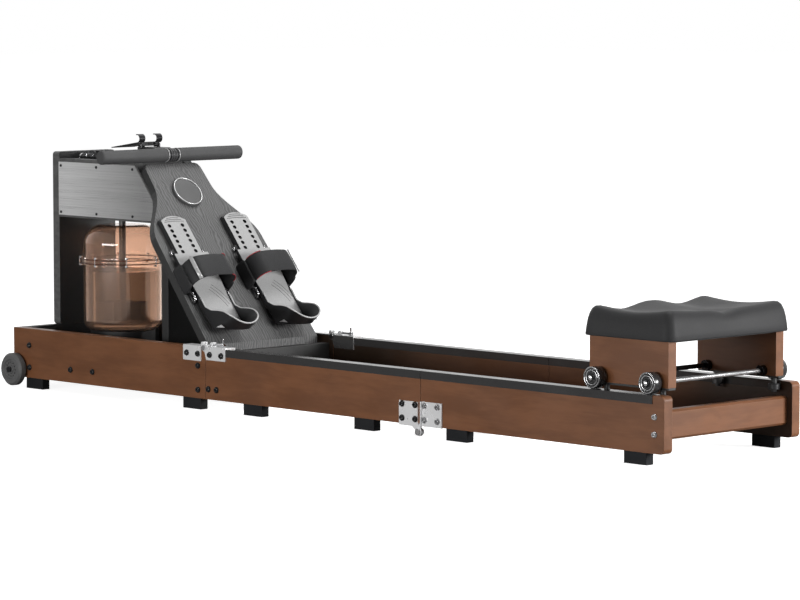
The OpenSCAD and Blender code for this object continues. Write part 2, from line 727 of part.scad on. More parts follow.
// Upright prism round the heel: straight sides and a half-round back
module heel_outline(r, low, high) translate([0, 0, low]) linear_extrude(high) {
    translate([heel_centre_s, 0]) circle(r);
    translate([330, -r]) square([heel_centre_s - 330, 2 * r]);
}

module heel_rest_left() color("darkgray") in_frame() on_footboard() translate([0, -rest_y, 0]) heel_rest();

module heel_rest_right() color("darkgray") in_frame() on_footboard() translate([0, rest_y, 0]) heel_rest();

// Drum-shaped stand between the deck and the tank
module tank_cradle() color(BLACK) in_frame() translate([tank_x, 0, 0]) {
    low = foot_h + 18 + board_t;
    difference() {
        translate([0, 0, low]) cylinder(r = tank_r - 16, h = tank_foot_z - low - seat_gap);
        translate([0, 0, low - 1]) cylinder(r = tank_r - 30, h = tank_foot_z - low - 9);
    }
}

module tank_body() color([0.62, 0.42, 0.30, 0.5]) in_frame() translate([tank_x, 0, 0]) rotate_extrude() difference() {
    corner = 22;
    top = tank_joint_z - seat_gap / 2;
    union() {
        translate([0, tank_foot_z]) square([tank_r - corner, 30]);
        translate([0, tank_foot_z + corner]) square([tank_r, top - tank_foot_z - corner]);
        translate([tank_r - corner, tank_foot_z + corner]) circle(corner);
        translate([0, top - 7]) square([flange_r, 7]);
    }
    translate([0, tank_foot_z + tank_wall]) square([tank_r - corner, 40]);
    translate([0, tank_foot_z + corner]) square([tank_r - tank_wall, 300]);
    translate([tank_r - corner, tank_foot_z + corner]) circle(corner - tank_wall);
    translate([-200, 0]) square([200, 400]);
}

module tank_dome() color([0.72, 0.48, 0.34, 0.5]) in_frame() translate([tank_x, 0, 0]) rotate_extrude() difference() {
    low = tank_joint_z + seat_gap / 2;
    shoulder = dome_top_z - dome_round;
    union() {
        translate([0, low]) square([tank_r, shoulder - low]);
        translate([0, low]) square([tank_r - dome_round, dome_top_z - low]);
        translate([tank_r - dome_round, shoulder]) circle(dome_round);
        translate([0, low]) square([flange_r, 7]);
    }
    translate([0, low - 1]) square([tank_r - tank_wall, shoulder - low + 1]);
    translate([0, low - 1]) square([tank_r - dome_round, dome_top_z - tank_wall - low + 1]);
    translate([tank_r - dome_round, shoulder]) circle(dome_round - tank_wall);
    translate([0, dome_top_z - 20]) square([shaft_r + run_gap, 40]);
    translate([0, low - 100]) square([200, 100]);
    translate([-200, 0]) square([200, 500]);
}

// Clamp bolts round the flange
module tank_clamps() color(STEEL) in_frame() translate([tank_x, 0, tank_joint_z]) for (i = [0:7]) rotate(i * 45 + 10.5)
    translate([flange_r + 1.2, 0, 0]) {
        translate([0, 0, -11]) cylinder(r = 1, h = 22);
        for (z = [-11, 7.5]) translate([-3, 0, z]) cylinder(r = 4, h = 3.5, $fn = 6);
    }

module tank_water() color([0.55, 0.38, 0.28, 0.6]) in_frame() translate([tank_x, 0, 0]) difference() {
    low = tank_foot_z + tank_wall + seat_gap;
    union() {
        translate([0, 0, low]) cylinder(r = tank_r - 23, h = 30);
        translate([0, 0, tank_foot_z + 23]) cylinder(r = tank_r - tank_wall - seat_gap, h = water_z - tank_foot_z - 23);
    }
    translate([0, 0, low + 10]) cylinder(r = paddle_r + 3, h = 300);
}

// Paddle blades on the upright shaft that the drum turns
module paddle() color("dimgray") in_frame() translate([tank_x, 0, 0]) {
    foot = tank_foot_z + 20;
    translate([0, 0, foot]) cylinder(r = shaft_r, h = drum_z0 + drum_h + 5 - foot);
    translate([0, 0, foot]) cylinder(r = 16, h = 50);
    for (i = [0:5]) rotate(i * 60) translate([10, -1.5, foot + 4]) cube([paddle_r - 10, 3, 42]);
}

// Bearing of the shaft in the tower's floor
module shaft_bearing() color(STEEL) in_frame() translate([tank_x, 0, tower_low]) difference() {
    union() {
        translate([0, 0, -0.5]) cylinder(r = shaft_r + 8, h = tower_floor_t + 0.5);
        translate([0, 0, tower_floor_t + seat_gap]) cylinder(r = shaft_r + 14, h = 4);
    }
    translate([0, 0, -2]) cylinder(r = shaft_r + run_gap, h = 40);
}

module strap_drum() color("gray") in_frame() translate([tank_x, 0, drum_z0]) rotate_extrude() difference() {
    union() {
        square([drum_r, drum_h]);
        square([drum_r + 1.2, 3]);
        translate([0, drum_h - 3]) square([drum_r + 1.2, 3]);
    }
    translate([-1, -1]) square([shaft_r + run_gap + 1, 60]);
}

// Flat case of the recoil spring under the drum
module recoil_case() color(BLACK) in_frame() translate([tank_x, 0, recoil_z0]) difference() {
    union() {
        cylinder(r = 52, h = recoil_h);
        translate([-15, -tower_in, 0]) cube([30, 2 * tower_in, recoil_h]);
    }
    translate([0, 0, -1]) cylinder(r = shaft_r + run_gap, h = recoil_h + 2);
}

module idler(x) translate([x, 0, idler_z]) rotate([90, 0, 0]) rotate_extrude() difference() {
    half = pull_strap_w / 2 + 1;
    union() {
        translate([0, -half]) square([idler_r, 2 * half]);
        for (y = [-half - 3, half]) translate([0, y]) square([idler_r + 3, 3]);
    }
    translate([-50, -50]) square([50 + 3 + run_gap, 100]);
}

module rear_idler() color("gray") in_frame() idler(rear_idler_x);

module front_idler() color("gray") in_frame() idler(front_idler_x);

// Bent steel bracket with rounded corners that carries the rear strap roller
module idler_bracket() color(STEEL) in_frame() {
    half = 40;
    foot_z = tower_low + tower_floor_t;
    top = strap_z - 4;
    x0 = rear_idler_x - 19;
    along_x(x0, x0 + 3) difference() {
        translate([-half, foot_z - 10]) round_square(2 * half, top - foot_z + 10, 10);
        translate([-half + 10, foot_z + 30]) square([2 * half - 20, top - foot_z - 38]);
        translate([-half - 1, foot_z - 11]) square([2 * half + 2, 11]);
    }
    for (y = [-20.5, 18]) box(x0 + 2, rear_idler_x + 8, y, y + 2.5, top - 18, top);
    cross_bar(rear_idler_x, idler_z, -19, 19, 3);
}

// Moulded strap guide behind the handle, with the axle of its roller and the holder's lugs
module strap_guide() color("dimgray") in_frame() {
    low = tower_top;
    top = holder_z - 5;
    half = 24;
    difference() {
        along_y(-half, half) polygon([[236, low], [guide_front, low], [guide_front, top - 8],
            [guide_front - 8, top], [236, top]]);
        box(200, 400, -half + 4, half - 4, low - 1, top - 4);
    }
    cross_bar(front_idler_x, idler_z, -half + 3, half - 3, 3);
    for (y = [-30, 26]) difference() {
        union() {
            box(holder_x - 4.5, holder_x + 4.5, y, y + 4, low, holder_z);
            cross_bar(holder_x, holder_z, y, y + 4, 4.5);
        }
        cross_bar(holder_x, holder_z, -50, 50, 2.5 + run_gap);
    }
    each_side() box(holder_x - 4.5, holder_x + 4.5, 23, 27, low, low + 8);
}

// The strap inside the tower: off the drum, a quarter turn, round the rear roller, along the top
module strap_inside() color("black") in_frame() {
    w = pull_strap_w;
    t = pull_strap_t;
    box(rear_idler_x, 286, -w / 2, w / 2, strap_z, strap_z + t);
    difference() {
        along_y(-w / 2, w / 2) translate([rear_idler_x, idler_z]) circle(idler_r + seat_gap + t);
        along_y(-w, w) translate([rear_idler_x, idler_z]) circle(idler_r + seat_gap);
        box(rear_idler_x, 400, -w, w, 0, 900);
    }
    twisted_strap(w, t);
}

module twisted_strap(w, t) {
    steps = 12;
    from = [tank_x - 2, -drum_r - 1.4, drum_z0 + 4.6 + w / 2];
    to = [rear_idler_x, 0, idler_z - idler_r - seat_gap - t / 2];
    ring = [for (i = [0:steps]) let (u = i / steps, e = (1 - cos(180 * u)) / 2, a = 90 * e,
        p = [from[0] + (to[0] - from[0]) * u, from[1] + (to[1] - from[1]) * e, from[2] + (to[2] - from[2]) * u * u])
        for (c = [[-1, -1], [1, -1], [1, 1], [-1, 1]])
            p + [0, c[0] * w / 2 * sin(a) - c[1] * t / 2 * cos(a), c[0] * w / 2 * cos(a) + c[1] * t / 2 * sin(a)]];
    sides = [for (i = [0:steps - 1], k = [0:3]) let (a = 4 * i + k, b = 4 * i + (k + 1) % 4)
        each [[a, b, b + 4], [a, b + 4, a + 4]]];
    last = 4 * steps;
    polyhedron(ring, concat([[2, 1, 0], [3, 2, 0]], sides, [[last, last + 1, last + 2], [last, last + 2, last + 3]]));
}

// The end of the strap, which leaves the guide with the handle and ends inside its centre piece
module strap_end() color("black") in_frame() box(286 + seat_gap, handle_x - 5, -pull_strap_w / 2, pull_strap_w / 2,
    strap_z, strap_z + pull_strap_t);

module handle_bar_y(y0, y1, r) cross_bar(handle_x, handle_z, y0, y1, r);

// Steel tube of the handle with the ribbed centre piece that holds the strap
module handle_core() color("dimgray") in_frame() difference() {
    half = connector_len / 2;
    union() {
        handle_bar_y(-handle_len / 2 + 4, handle_len / 2 - 4, tube_r);
        handle_bar_y(-half, half, grip_r - 2.5);
        for (y = [-half, -half + 9, -2.5, half - 14, half - 5]) handle_bar_y(y, y + 5, grip_r - 0.5);
    }
    box(handle_x - grip_r - 1, handle_x - 4, -pull_strap_w / 2 - 0.5, pull_strap_w / 2 + 0.5,
        strap_z - 0.3, strap_z + pull_strap_t + 0.3);
}

module handle_grips() color([0.2, 0.2, 0.2]) in_frame() each_side() difference() {
    from = connector_len / 2 + seat_gap;
    to = handle_len / 2;
    union() {
        handle_bar_y(from, to - 3, grip_r);
        handle_bar_y(to - 3 - eps, to, grip_r - 2);
    }
    handle_bar_y(0, to - 3.6, tube_r + run_gap);
}

// Folding device holder: a flat plate with two hooks at its hinge
module device_holder() color(BLACK) in_frame() translate([holder_x, 0, holder_z]) rotate([0, -holder_slope, 0]) {
    union() {
        translate([-holder_len, -holder_w / 2, 5]) cube([holder_len + 3, holder_w, 2]);
        for (y = [-24, 16]) {
            translate([-4, y, 0]) cube([8, 8, 5.5]);
            translate([0, y, 0]) rotate([-90, 0, 0]) cylinder(r = 4.5, h = 8);
        }
        translate([0, -30.5, 0]) rotate([-90, 0, 0]) cylinder(r = 2.5, h = 61);
        for (y = [-1, 1]) translate([1, y * 26 - hook_w / 2, 5]) holder_hook();
    }
}

// A hook: a strip that rises, bulges towards the handle and curls back
module holder_hook() rotate([90, 0, 0]) mirror([0, 0, 1]) linear_extrude(hook_w) difference() {
    r = hook_h / 2;
    translate([-2, r]) circle(r);
    translate([-2, r]) circle(r - 2);
    translate([-50, -1]) square([48 - 2, 80]);
}

// The seat's top board, the plates under its blocks and the spindles of the guide rollers
module seat_base() color(BLACK) in_frame() {
    half = block_half;
    box(block_from + 8, block_from + block_len - 8, -half + block_t + seat_gap, half - block_t - seat_gap,
        pad_low - 4, pad_low - seat_gap);
    each_side() {
            box(block_from - 2, block_from + block_len + 3, guide_y - guide_r, half + 2, block_low - 4, block_low);
            for (x = guide_xs) {
                translate([x, guide_y, rail_top - 5 + seat_gap]) cylinder(r = 6, h = block_low - rail_top + 3);
                translate([x, guide_y, rail_top - 22]) cylinder(r = 3, h = block_low - rail_top + 20);
                translate([x, guide_y, rail_top - 22]) cylinder(r = 6, h = 4.7, $fn = 6);
            }
    }
}

function axle_xs() = [rear_axle_x - wheelbase, rear_axle_x];

module seat_blocks() color(WOOD) in_frame() each_side() difference() {
    box(block_from, block_from + block_len, block_half - block_t, block_half, block_low, block_low + block_h);
    for (x = axle_xs()) cross_bar(x, axle_z, 0, frame_w, axle_r + run_gap);
}

// Roller axles right across, with their collars, bearings and end nuts
module seat_axles() color(STEEL) in_frame() for (x = axle_xs()) {
    outer = roller_y + roller_w / 2;
    cross_bar(x, axle_z, -outer - 3, outer + 3, axle_r);
    each_side() {
        cross_bar(x, axle_z, block_half + seat_gap, roller_y - roller_w / 2 - seat_gap, axle_r + 3);
        cross_bar(x, axle_z, roller_y - roller_w / 2 + 2, outer - 2, bearing_r);
        cross_bar(x, axle_z, outer - 2 + eps, outer + 3.5, axle_r + 2);
        cross_bar(x, axle_z, block_half - block_t - 12, block_half - block_t - seat_gap, axle_r + 6);
    }
}

module seat_roller(x) each_side() translate([x, roller_y - roller_w / 2, axle_z]) rotate([-90, 0, 0]) difference() {
    rotate_extrude() polygon([[bearing_r + run_gap, 0], [roller_r - 2, 0], [roller_r, 2],
        [roller_r, roller_w - 2], [roller_r - 2, roller_w], [bearing_r + run_gap, roller_w]]);
}

module front_rollers() color("gray") in_frame() seat_roller(rear_axle_x - wheelbase);

module rear_rollers() color("gray") in_frame() seat_roller(rear_axle_x);

module guide_roller(x) translate([x, guide_y, rail_top - 17]) rotate_extrude()
    polygon([[3 + run_gap, 0], [guide_r - 1, 0], [guide_r, 1], [guide_r, 11], [guide_r - 1, 12], [3 + run_gap, 12]]);

module guide_roller_1() color(BLACK) in_frame() mirror([0, 1, 0]) guide_roller(guide_xs[0]);

module guide_roller_2() color(BLACK) in_frame() mirror([0, 1, 0]) guide_roller(guide_xs[1]);

module guide_roller_3() color(BLACK) in_frame() guide_roller(guide_xs[0]);

module guide_roller_4() color(BLACK) in_frame() guide_roller(guide_xs[1]);

// Sculpted cushion: straight lower edge, drawn-in sides, raised corners and hollows between them
module seat_pad() color([0.2, 0.2, 0.21]) in_frame() translate([seat_mid + 1, 0, pad_low]) {
    levels = [[0, 0, 0], [0.24, 1, 0], [0.5, 3.2, 0.1], [0.7, 6.3, 0.35], [0.85, 10.5, 0.7],
        [0.94, 16.5, 0.95], [0.975, 24, 1]];
    side = [for (l = levels, p = pad_ring(l[1])) [p[0], p[1], pad_h * l[0] + l[2] * pad_top(p[0], p[1])]];
    inner = [for (f = [0.82, 0.63, 0.44, 0.22], p = pad_ring(24))
        [p[0] * f, p[1] * f, pad_h * 0.975 + pad_top(p[0] * f, p[1] * f)]];
    turns = len(pad_ring(0));
    count = len(levels) + 4;
    peak = count * turns;
    points = concat(side, inner, [[0, 0, pad_h * 0.975 + pad_top(0, 0)], [0, 0, 0]]);
    walls = [for (k = [0:count - 2], i = [0:turns - 1]) let (a = k * turns + i, b = k * turns + (i + 1) % turns)
        each [[a, b + turns, b], [a, a + turns, b + turns]]];
    crown = [for (i = [0:turns - 1]) [(count - 1) * turns + i, peak, (count - 1) * turns + (i + 1) % turns]];
    base = [for (i = [0:turns - 1]) [(i + 1) % turns, peak + 1, i]];
    polyhedron(points, concat(walls, crown, base));
}

// Outline of the cushion, drawn in by d: four rounded corners and points along the sides
function pad_ring(d) = let (hx = pad_len / 2 - d, hy = pad_w / 2 - d, r = max(pad_corner - 0.6 * d, 4),
    sx = [1, -1, -1, 1, 1], sy = [1, 1, -1, -1, 1], extra = [4, 8, 4, 8])
    [for (q = [0:3]) let (e = [r * cos(90 * q + 90), r * sin(90 * q + 90)],
        a = [sx[q] * (hx - r), sy[q] * (hy - r)] + e, b = [sx[q + 1] * (hx - r), sy[q + 1] * (hy - r)] + e)
        each concat([for (i = [0:4]) [sx[q] * (hx - r) + r * cos(90 * q + 22.5 * i),
            sy[q] * (hy - r) + r * sin(90 * q + 22.5 * i)]],
            [for (i = [1:extra[q]]) a + (b - a) * i / (extra[q] + 1)])];

// Height of the cushion's top over its mean: raised corners and front middle, hollows between
function pad_top(x, y) = let (u = 2 * x / pad_len, v = 2 * y / pad_w,
    front = pow(max(0, (1 - u) / 2), 1.5), rear = pow(max(0, (1 + u) / 2), 1.5))
    pad_wave * (front * (0.6 * cos(379 * v) - 0.4) + rear * (0.85 * v * v - 0.4 - 0.7 * exp(-v * v / 0.02))
    - 0.8 * pow(max(0, 1 - u * u), 1.5) + 0.15);

front_boards();
front_cross_boards();
front_bolts();
front_feet();
front_hinge_plates();
transport_wheel_near();
transport_wheel_far();
tower_front_panel();
tower_sides();
tower_shelves();
side_plates();
footboard();
round_cap();
footrest_bases();
foot_straps();
heel_rest_left();
heel_rest_right();
tank_cradle();
tank_body();
tank_dome();
tank_clamps();
tank_water();
paddle();
shaft_bearing();
strap_drum();
recoil_case();
rear_idler();
front_idler();
idler_bracket();
strap_guide();
strap_inside();
strap_end();
handle_core();
handle_grips();
device_holder();
lock_bolt_near();
lock_bolt_far();
mid_boards();
mid_cross_boards();
mid_tracks();
mid_feet();
mid_bolts();
mid_hinge_plates();
hinge_pins();
rear_boards();
rear_cross_boards();
rear_tracks();
rear_feet();
rear_bolts();
rear_hinge_plates();
seat_pad();
seat_base();
seat_blocks();
seat_axles();
front_rollers();
rear_rollers();
guide_roller_1();
guide_roller_2();
guide_roller_3();
guide_roller_4();
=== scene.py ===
# %% [markdown]
# # A folding water rowing machine
# The real machine is a long wooden rail frame with a water tank at one end and a rolling seat
# at the other. The rigid parts come in ready made as the frame. This lesson gives each of them
# a finish, builds the soft and the finely detailed pieces, and lights and frames the picture.

import math

import bmesh
import bpy
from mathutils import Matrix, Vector


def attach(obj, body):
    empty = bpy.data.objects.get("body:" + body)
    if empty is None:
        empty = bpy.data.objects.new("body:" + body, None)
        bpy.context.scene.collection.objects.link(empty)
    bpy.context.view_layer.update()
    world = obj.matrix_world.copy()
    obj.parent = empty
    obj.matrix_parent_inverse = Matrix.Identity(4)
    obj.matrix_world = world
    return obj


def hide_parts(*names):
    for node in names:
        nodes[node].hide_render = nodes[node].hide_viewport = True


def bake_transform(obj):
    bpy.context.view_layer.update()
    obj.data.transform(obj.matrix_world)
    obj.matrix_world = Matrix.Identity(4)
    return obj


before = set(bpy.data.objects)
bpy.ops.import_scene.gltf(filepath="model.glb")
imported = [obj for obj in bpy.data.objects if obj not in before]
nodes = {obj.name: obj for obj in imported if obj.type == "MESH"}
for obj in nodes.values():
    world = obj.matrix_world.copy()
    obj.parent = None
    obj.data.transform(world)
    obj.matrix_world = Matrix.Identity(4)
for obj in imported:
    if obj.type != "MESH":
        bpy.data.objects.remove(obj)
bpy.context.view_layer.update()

# %% [markdown]
# ## Places on the machine
# The drawing of the machine measures X from the tank end, Y from the middle and Z from the
# floor, in millimetres. The footboard slopes, so it gets its own way to name a place: s is the
# way down the slope, n is the height over its face. The near side is the one towards the camera,
# where Y is negative.

# %% Two ways to name a place
TANK_END = -1008
SLOPE = math.radians(50.8)
BOARD_TOP = (327, 528)
OUT_OF_BOARD = (math.sin(SLOPE), 0.0, math.cos(SLOPE))
DOWN_BOARD = (math.cos(SLOPE), 0.0, -math.sin(SLOPE))
RAIL_TOP = 140
REST_Y = 95
SIDES = ((-1, "near"), (1, "far"))


def at(x, y, z):
    return Vector(((TANK_END + x) / 1000, y / 1000, z / 1000))


def on_board(s, y, n):
    x = BOARD_TOP[0] + s * math.cos(SLOPE) + n * math.sin(SLOPE)
    z = BOARD_TOP[1] - s * math.sin(SLOPE) + n * math.cos(SLOPE)
    return at(x, y, z)


print("tank end at x =", at(0, 0, 0).x, "m; top of the footboard at", tuple(on_board(0, 0, 0)))

# %% [markdown]
# ## Camera
# The photograph was taken with a long lens from about eight metres, a little above the rails.
# A long lens keeps the rails almost parallel. The numbers come from solving the camera from
# the straight edges of the frame.

# %% Camera
camera_data = bpy.data.cameras.new("camera")
camera_data.lens = 168.66
camera_data.sensor_width = 36
camera_data.clip_end = 200
camera = bpy.data.objects.new("camera", camera_data)
bpy.context.scene.collection.objects.link(camera)
camera.location = (5.895, -5.6625, 0.963)
camera.rotation_euler = (math.radians(90 - 4.96), 0, math.radians(45.77))
bpy.context.scene.camera = camera
bpy.context.scene.view_settings.view_transform = "Standard"
print("camera", tuple(camera.location), "lens", camera_data.lens)

# %% [markdown]
# ## Node trees in plain words
# Every finish below is a tree of shader nodes. This small helper adds a node, sets its options
# and feeds its sockets, from a number, a colour or another node, in one line.

# %% A short way to build node trees
class Tree:
    def __init__(self, tree):
        self.tree = tree

    def feed(self, socket, value):
        if isinstance(value, bpy.types.NodeSocket):
            self.tree.links.new(value, socket)
        elif hasattr(value, "__len__") and socket.type == "RGBA" and len(value) == 3:
            socket.default_value = (*value, 1)
        else:
            socket.default_value = value

    def node(self, kind, *values, out=0, settings=(), **named):
        made = self.tree.nodes.new("ShaderNode" + kind)
        for key, value in dict(settings).items():
            setattr(made, key, value)
        for i, value in enumerate(values):
            self.feed(made.inputs[i], value)
        for key, value in named.items():
            self.feed(made.inputs[key.replace("_", " ")], value)
        return made if out is None or not made.outputs else made.outputs[out]

    def math(self, operation, *values, clamp=False):
        return self.node("Math", *values, settings={"operation": operation, "use_clamp": clamp})

    def vector(self, operation, *values, out=0):
        return self.node("VectorMath", *values, settings={"operation": operation}, out=out)

    def mix(self, factor, a, b):
        made = self.node("Mix", out=None, settings={"data_type": "RGBA"})
        for i, value in ((0, factor), (6, a), (7, b)):
            self.feed(made.inputs[i], value)
        return made.outputs[2]

    def span(self, value, low, high, to_low=0.0, to_high=1.0):
        return self.node("MapRange", value, low, high, to_low, to_high,
                         settings={"interpolation_type": "SMOOTHSTEP"})

    def facing(self, direction):
        """How much a face looks in a direction, from -1 to 1."""
        return self.vector("DOT_PRODUCT", self.node("NewGeometry", out="Normal"), direction, out="Value")

    def noise(self, vector, scale, detail=2.0, roughness=0.5, distortion=0.0):
        return self.node("TexNoise", Vector=vector, Scale=scale, Detail=detail, Roughness=roughness,
                         Distortion=distortion)

    def bump(self, height, strength, distance, normal=None):
        made = self.node("Bump", Strength=strength, Distance=distance, Height=height, out=None)
        if normal is not None:
            self.feed(made.inputs["Normal"], normal)
        return made.outputs[0]

    def use(self, group, **named):
        made = self.node("Group", out=None, settings={"node_tree": group})
        for key, value in named.items():
            self.feed(made.inputs[key.replace("_", " ")], value)
        return made.outputs


SOCKETS = {"value": "NodeSocketFloat", "color": "NodeSocketColor", "vector": "NodeSocketVector"}


def effect(name, takes, gives, build):
    """A shader node group: takes and gives are {socket name: kind}, build makes its inside."""
    group = bpy.data.node_groups.new(name, "ShaderNodeTree")
    for key, kind in takes.items():
        group.interface.new_socket(key, in_out="INPUT", socket_type=SOCKETS[kind])
    for key, kind in gives.items():
        group.interface.new_socket(key, in_out="OUTPUT", socket_type=SOCKETS[kind])
    entry = group.nodes.new("NodeGroupInput")
    leave = group.nodes.new("NodeGroupOutput")
    tree = Tree(group)
    for key, socket in build(tree, entry.outputs).items():
        tree.feed(leave.inputs[key], socket)
    return group


def finish(name, build):
    """A material: build(tree) returns what goes into the Principled BSDF, by socket name."""
    made = bpy.data.materials.new(name)
    made.use_nodes = True
    made.node_tree.nodes.clear()
    tree = Tree(made.node_tree)
    shader = tree.node("BsdfPrincipled", out=None)
    for key, value in build(tree).items():
        tree.feed(shader.inputs[key], value)
    tree.node("OutputMaterial", shader.outputs[0])
    return made


def place(tree):
    return tree.node("TexCoord", out="Object")


print("helpers ready")

# %% [markdown]
# ## Effects that several finishes share
# Sawn and moulded parts never have razor edges. The first effect rounds every edge in the
# shading and also says where the edges are, so that a finish can be worn there. The others are
# a wood figure, a fine moulded grain, brushed lines, uneven gloss, and a mask for the inner
# faces of the far side, which the lamps of the photograph hardly reach.

# %% Soft edges
def build_soft_edges(tree, entry):
    rounded = tree.node("Bevel", entry["Radius"], settings={"samples": 4})
    sharp = tree.node("NewGeometry", out="Normal")
    turn = tree.vector("DOT_PRODUCT", rounded, sharp, out="Value")
    return {"Normal": rounded, "Edge": tree.span(turn, 0.998, 0.9)}


soft_edges = effect("soft_edges", {"Radius": "value"}, {"Normal": "vector", "Edge": "value"},
                    build_soft_edges)
print("effect", soft_edges.name)


# %% Wood figure
def build_wood_figure(tree, entry):
    vector = entry["Vector"]
    warp = tree.noise(vector, 0.7, 2.0)
    bent = tree.vector("ADD", vector, tree.vector("MULTIPLY", warp, (0.0, 1.2, 1.2)))
    cloud = tree.noise(bent, 0.8, 3.0, 0.55)
    streak = tree.noise(tree.vector("MULTIPLY", bent, (1.0, 5.0, 5.0)), 1.6, 5.0, 0.65)
    pore = tree.noise(tree.vector("MULTIPLY", vector, (2.2, 22.0, 22.0)), 2.0, 2.0, 0.5)
    both = tree.math("ADD", tree.math("MULTIPLY", cloud, 0.78), tree.math("MULTIPLY", streak, 0.22))
    tone = tree.span(both, 0.36, 0.64)
    soft = tree.math("MULTIPLY_ADD", tree.math("SUBTRACT", tone, 0.5), entry["Contrast"], 0.5)
    color = tree.mix(soft, entry["Dark"], entry["Pale"])
    pit = tree.span(pore, 0.62, 0.72)
    return {"Color": tree.mix(tree.math("MULTIPLY", pit, 0.28), color, entry["Dark"]),
            "Height": tree.math("SUBTRACT", streak, tree.math("MULTIPLY", pit, 0.5))}


wood_figure = effect("wood_figure",
                     {"Vector": "vector", "Dark": "color", "Pale": "color", "Contrast": "value"},
                     {"Color": "color", "Height": "value"}, build_wood_figure)
print("effect", wood_figure.name)


# %% Moulded grain, brushed lines, uneven gloss and inner shade
def build_moulded_grain(tree, entry):
    fine = tree.node("TexVoronoi", Vector=entry["Vector"], Scale=entry["Scale"])
    coarse = tree.noise(entry["Vector"], tree.math("MULTIPLY", entry["Scale"], 0.31), 3.0)
    return {"Height": tree.math("MULTIPLY_ADD", coarse, 0.6, fine), "Mask": coarse}


def build_brushed_lines(tree, entry):
    lines = tree.noise(tree.vector("MULTIPLY", entry["Vector"], (5.0, 1500.0, 1500.0)), 1.0, 3.0, 0.7)
    broad = tree.noise(tree.vector("MULTIPLY", entry["Vector"], (2.2, 380.0, 380.0)), 1.0, 2.0)
    half = tree.math("MULTIPLY", lines, 0.5)
    return {"Height": lines, "Mask": tree.math("MULTIPLY_ADD", broad, 0.5, half)}


def build_uneven_gloss(tree, entry):
    rub = tree.noise(entry["Vector"], 9.0, 4.0, 0.6)
    return {"Roughness": tree.span(rub, 0.3, 0.7, entry["Low"], entry["High"])}


def build_inner_shade(tree, entry):
    """Deepest at both ends of the rails, and only a third as deep over their top."""
    spot = tree.node("SeparateXYZ", entry["Vector"], out=None).outputs
    to_near = tree.span(tree.facing((0.0, -1.0, 0.0)), 0.5, 0.9)
    inner = tree.math("MULTIPLY", to_near, tree.math("GREATER_THAN", spot[1], 0.0))
    tank_side = tree.span(spot[0], at(800, 0, 0).x, at(1200, 0, 0).x, 0.5, 0.0)
    seat_side = tree.span(spot[0], at(1700, 0, 0).x, at(1850, 0, 0).x, 0.0, 0.42)
    deep = tree.math("ADD", tree.math("ADD", tank_side, seat_side), 0.42)
    low = tree.span(spot[2], at(0, 0, RAIL_TOP).z, at(0, 0, RAIL_TOP + 8).z, 1.0, 0.35)
    return {"Mask": tree.math("MULTIPLY", inner, tree.math("MULTIPLY", deep, low), clamp=True)}


inner_shade = effect("inner_shade", {"Vector": "vector"}, {"Mask": "value"}, build_inner_shade)
moulded_grain = effect("moulded_grain", {"Vector": "vector", "Scale": "value"},
                       {"Height": "value", "Mask": "value"}, build_moulded_grain)
brushed_lines = effect("brushed_lines", {"Vector": "vector"}, {"Height": "value", "Mask": "value"},
                       build_brushed_lines)
uneven_gloss = effect("uneven_gloss", {"Vector": "vector", "Low": "value", "High": "value"},
                      {"Roughness": "value"}, build_uneven_gloss)
print("effects", inner_shade.name, moulded_grain.name, brushed_lines.name, uneven_gloss.name)

# %% [markdown]
# ## Varnished wood
# The boards are stained reddish brown and varnished. The figure runs along each board, so the
# same tree is made twice, for grain along X and along Y. The stain is paler where the edges are
# rubbed, the inner faces of the far side are painted darker as painted shade, and the varnish is
# a clear coat over it.

# %% Varnished wood
STAIN_DARK = (0.112, 0.041, 0.015)
STAIN_PALE = (0.218, 0.087, 0.036)
STAIN_EDGE = (0.30, 0.15, 0.08)


def wood_along(axis, seed):
    """axis is 0 for grain along X and 1 for grain along Y."""
    stretch = [30.0, 30.0, 30.0]
    stretch[axis] = 7.0
    swap = ((0, 1, 2), (1, 0, 2))[axis]

    def build(tree):
        spot = tree.vector("ADD", tree.vector("MULTIPLY", place(tree), stretch), (seed, seed * 2.3, 0.0))
        parts = tree.node("SeparateXYZ", spot, out=None).outputs
        grain = tree.node("CombineXYZ", parts[swap[0]], parts[swap[1]], parts[swap[2]])
        figure = tree.use(wood_figure, Vector=grain, Dark=STAIN_DARK, Pale=STAIN_PALE, Contrast=0.5)
        edge = tree.use(soft_edges, Radius=0.0016)
        gloss = tree.use(uneven_gloss, Vector=place(tree), Low=0.34, High=0.5)
        worn = tree.mix(tree.math("MULTIPLY", edge["Edge"], 0.55), figure["Color"], STAIN_EDGE)
        # Painted shade: the inner faces of the far side are painted nearly black.
        worn = tree.mix(tree.use(inner_shade, Vector=place(tree))["Mask"], worn, (0.006, 0.005, 0.003))
        return {"Base Color": worn, "Roughness": gloss["Roughness"], "Coat Weight": 0.12,
                "Coat Roughness": 0.25, "Specular IOR Level": 0.3,
                "Normal": tree.bump(figure["Height"], 0.12, 0.0005, edge["Normal"])}

    return finish("varnished_wood_%s" % "xyz"[axis], build)


wood_x = wood_along(0, 3.0)
wood_y = wood_along(1, 8.0)
print("made", wood_x.name, wood_y.name)
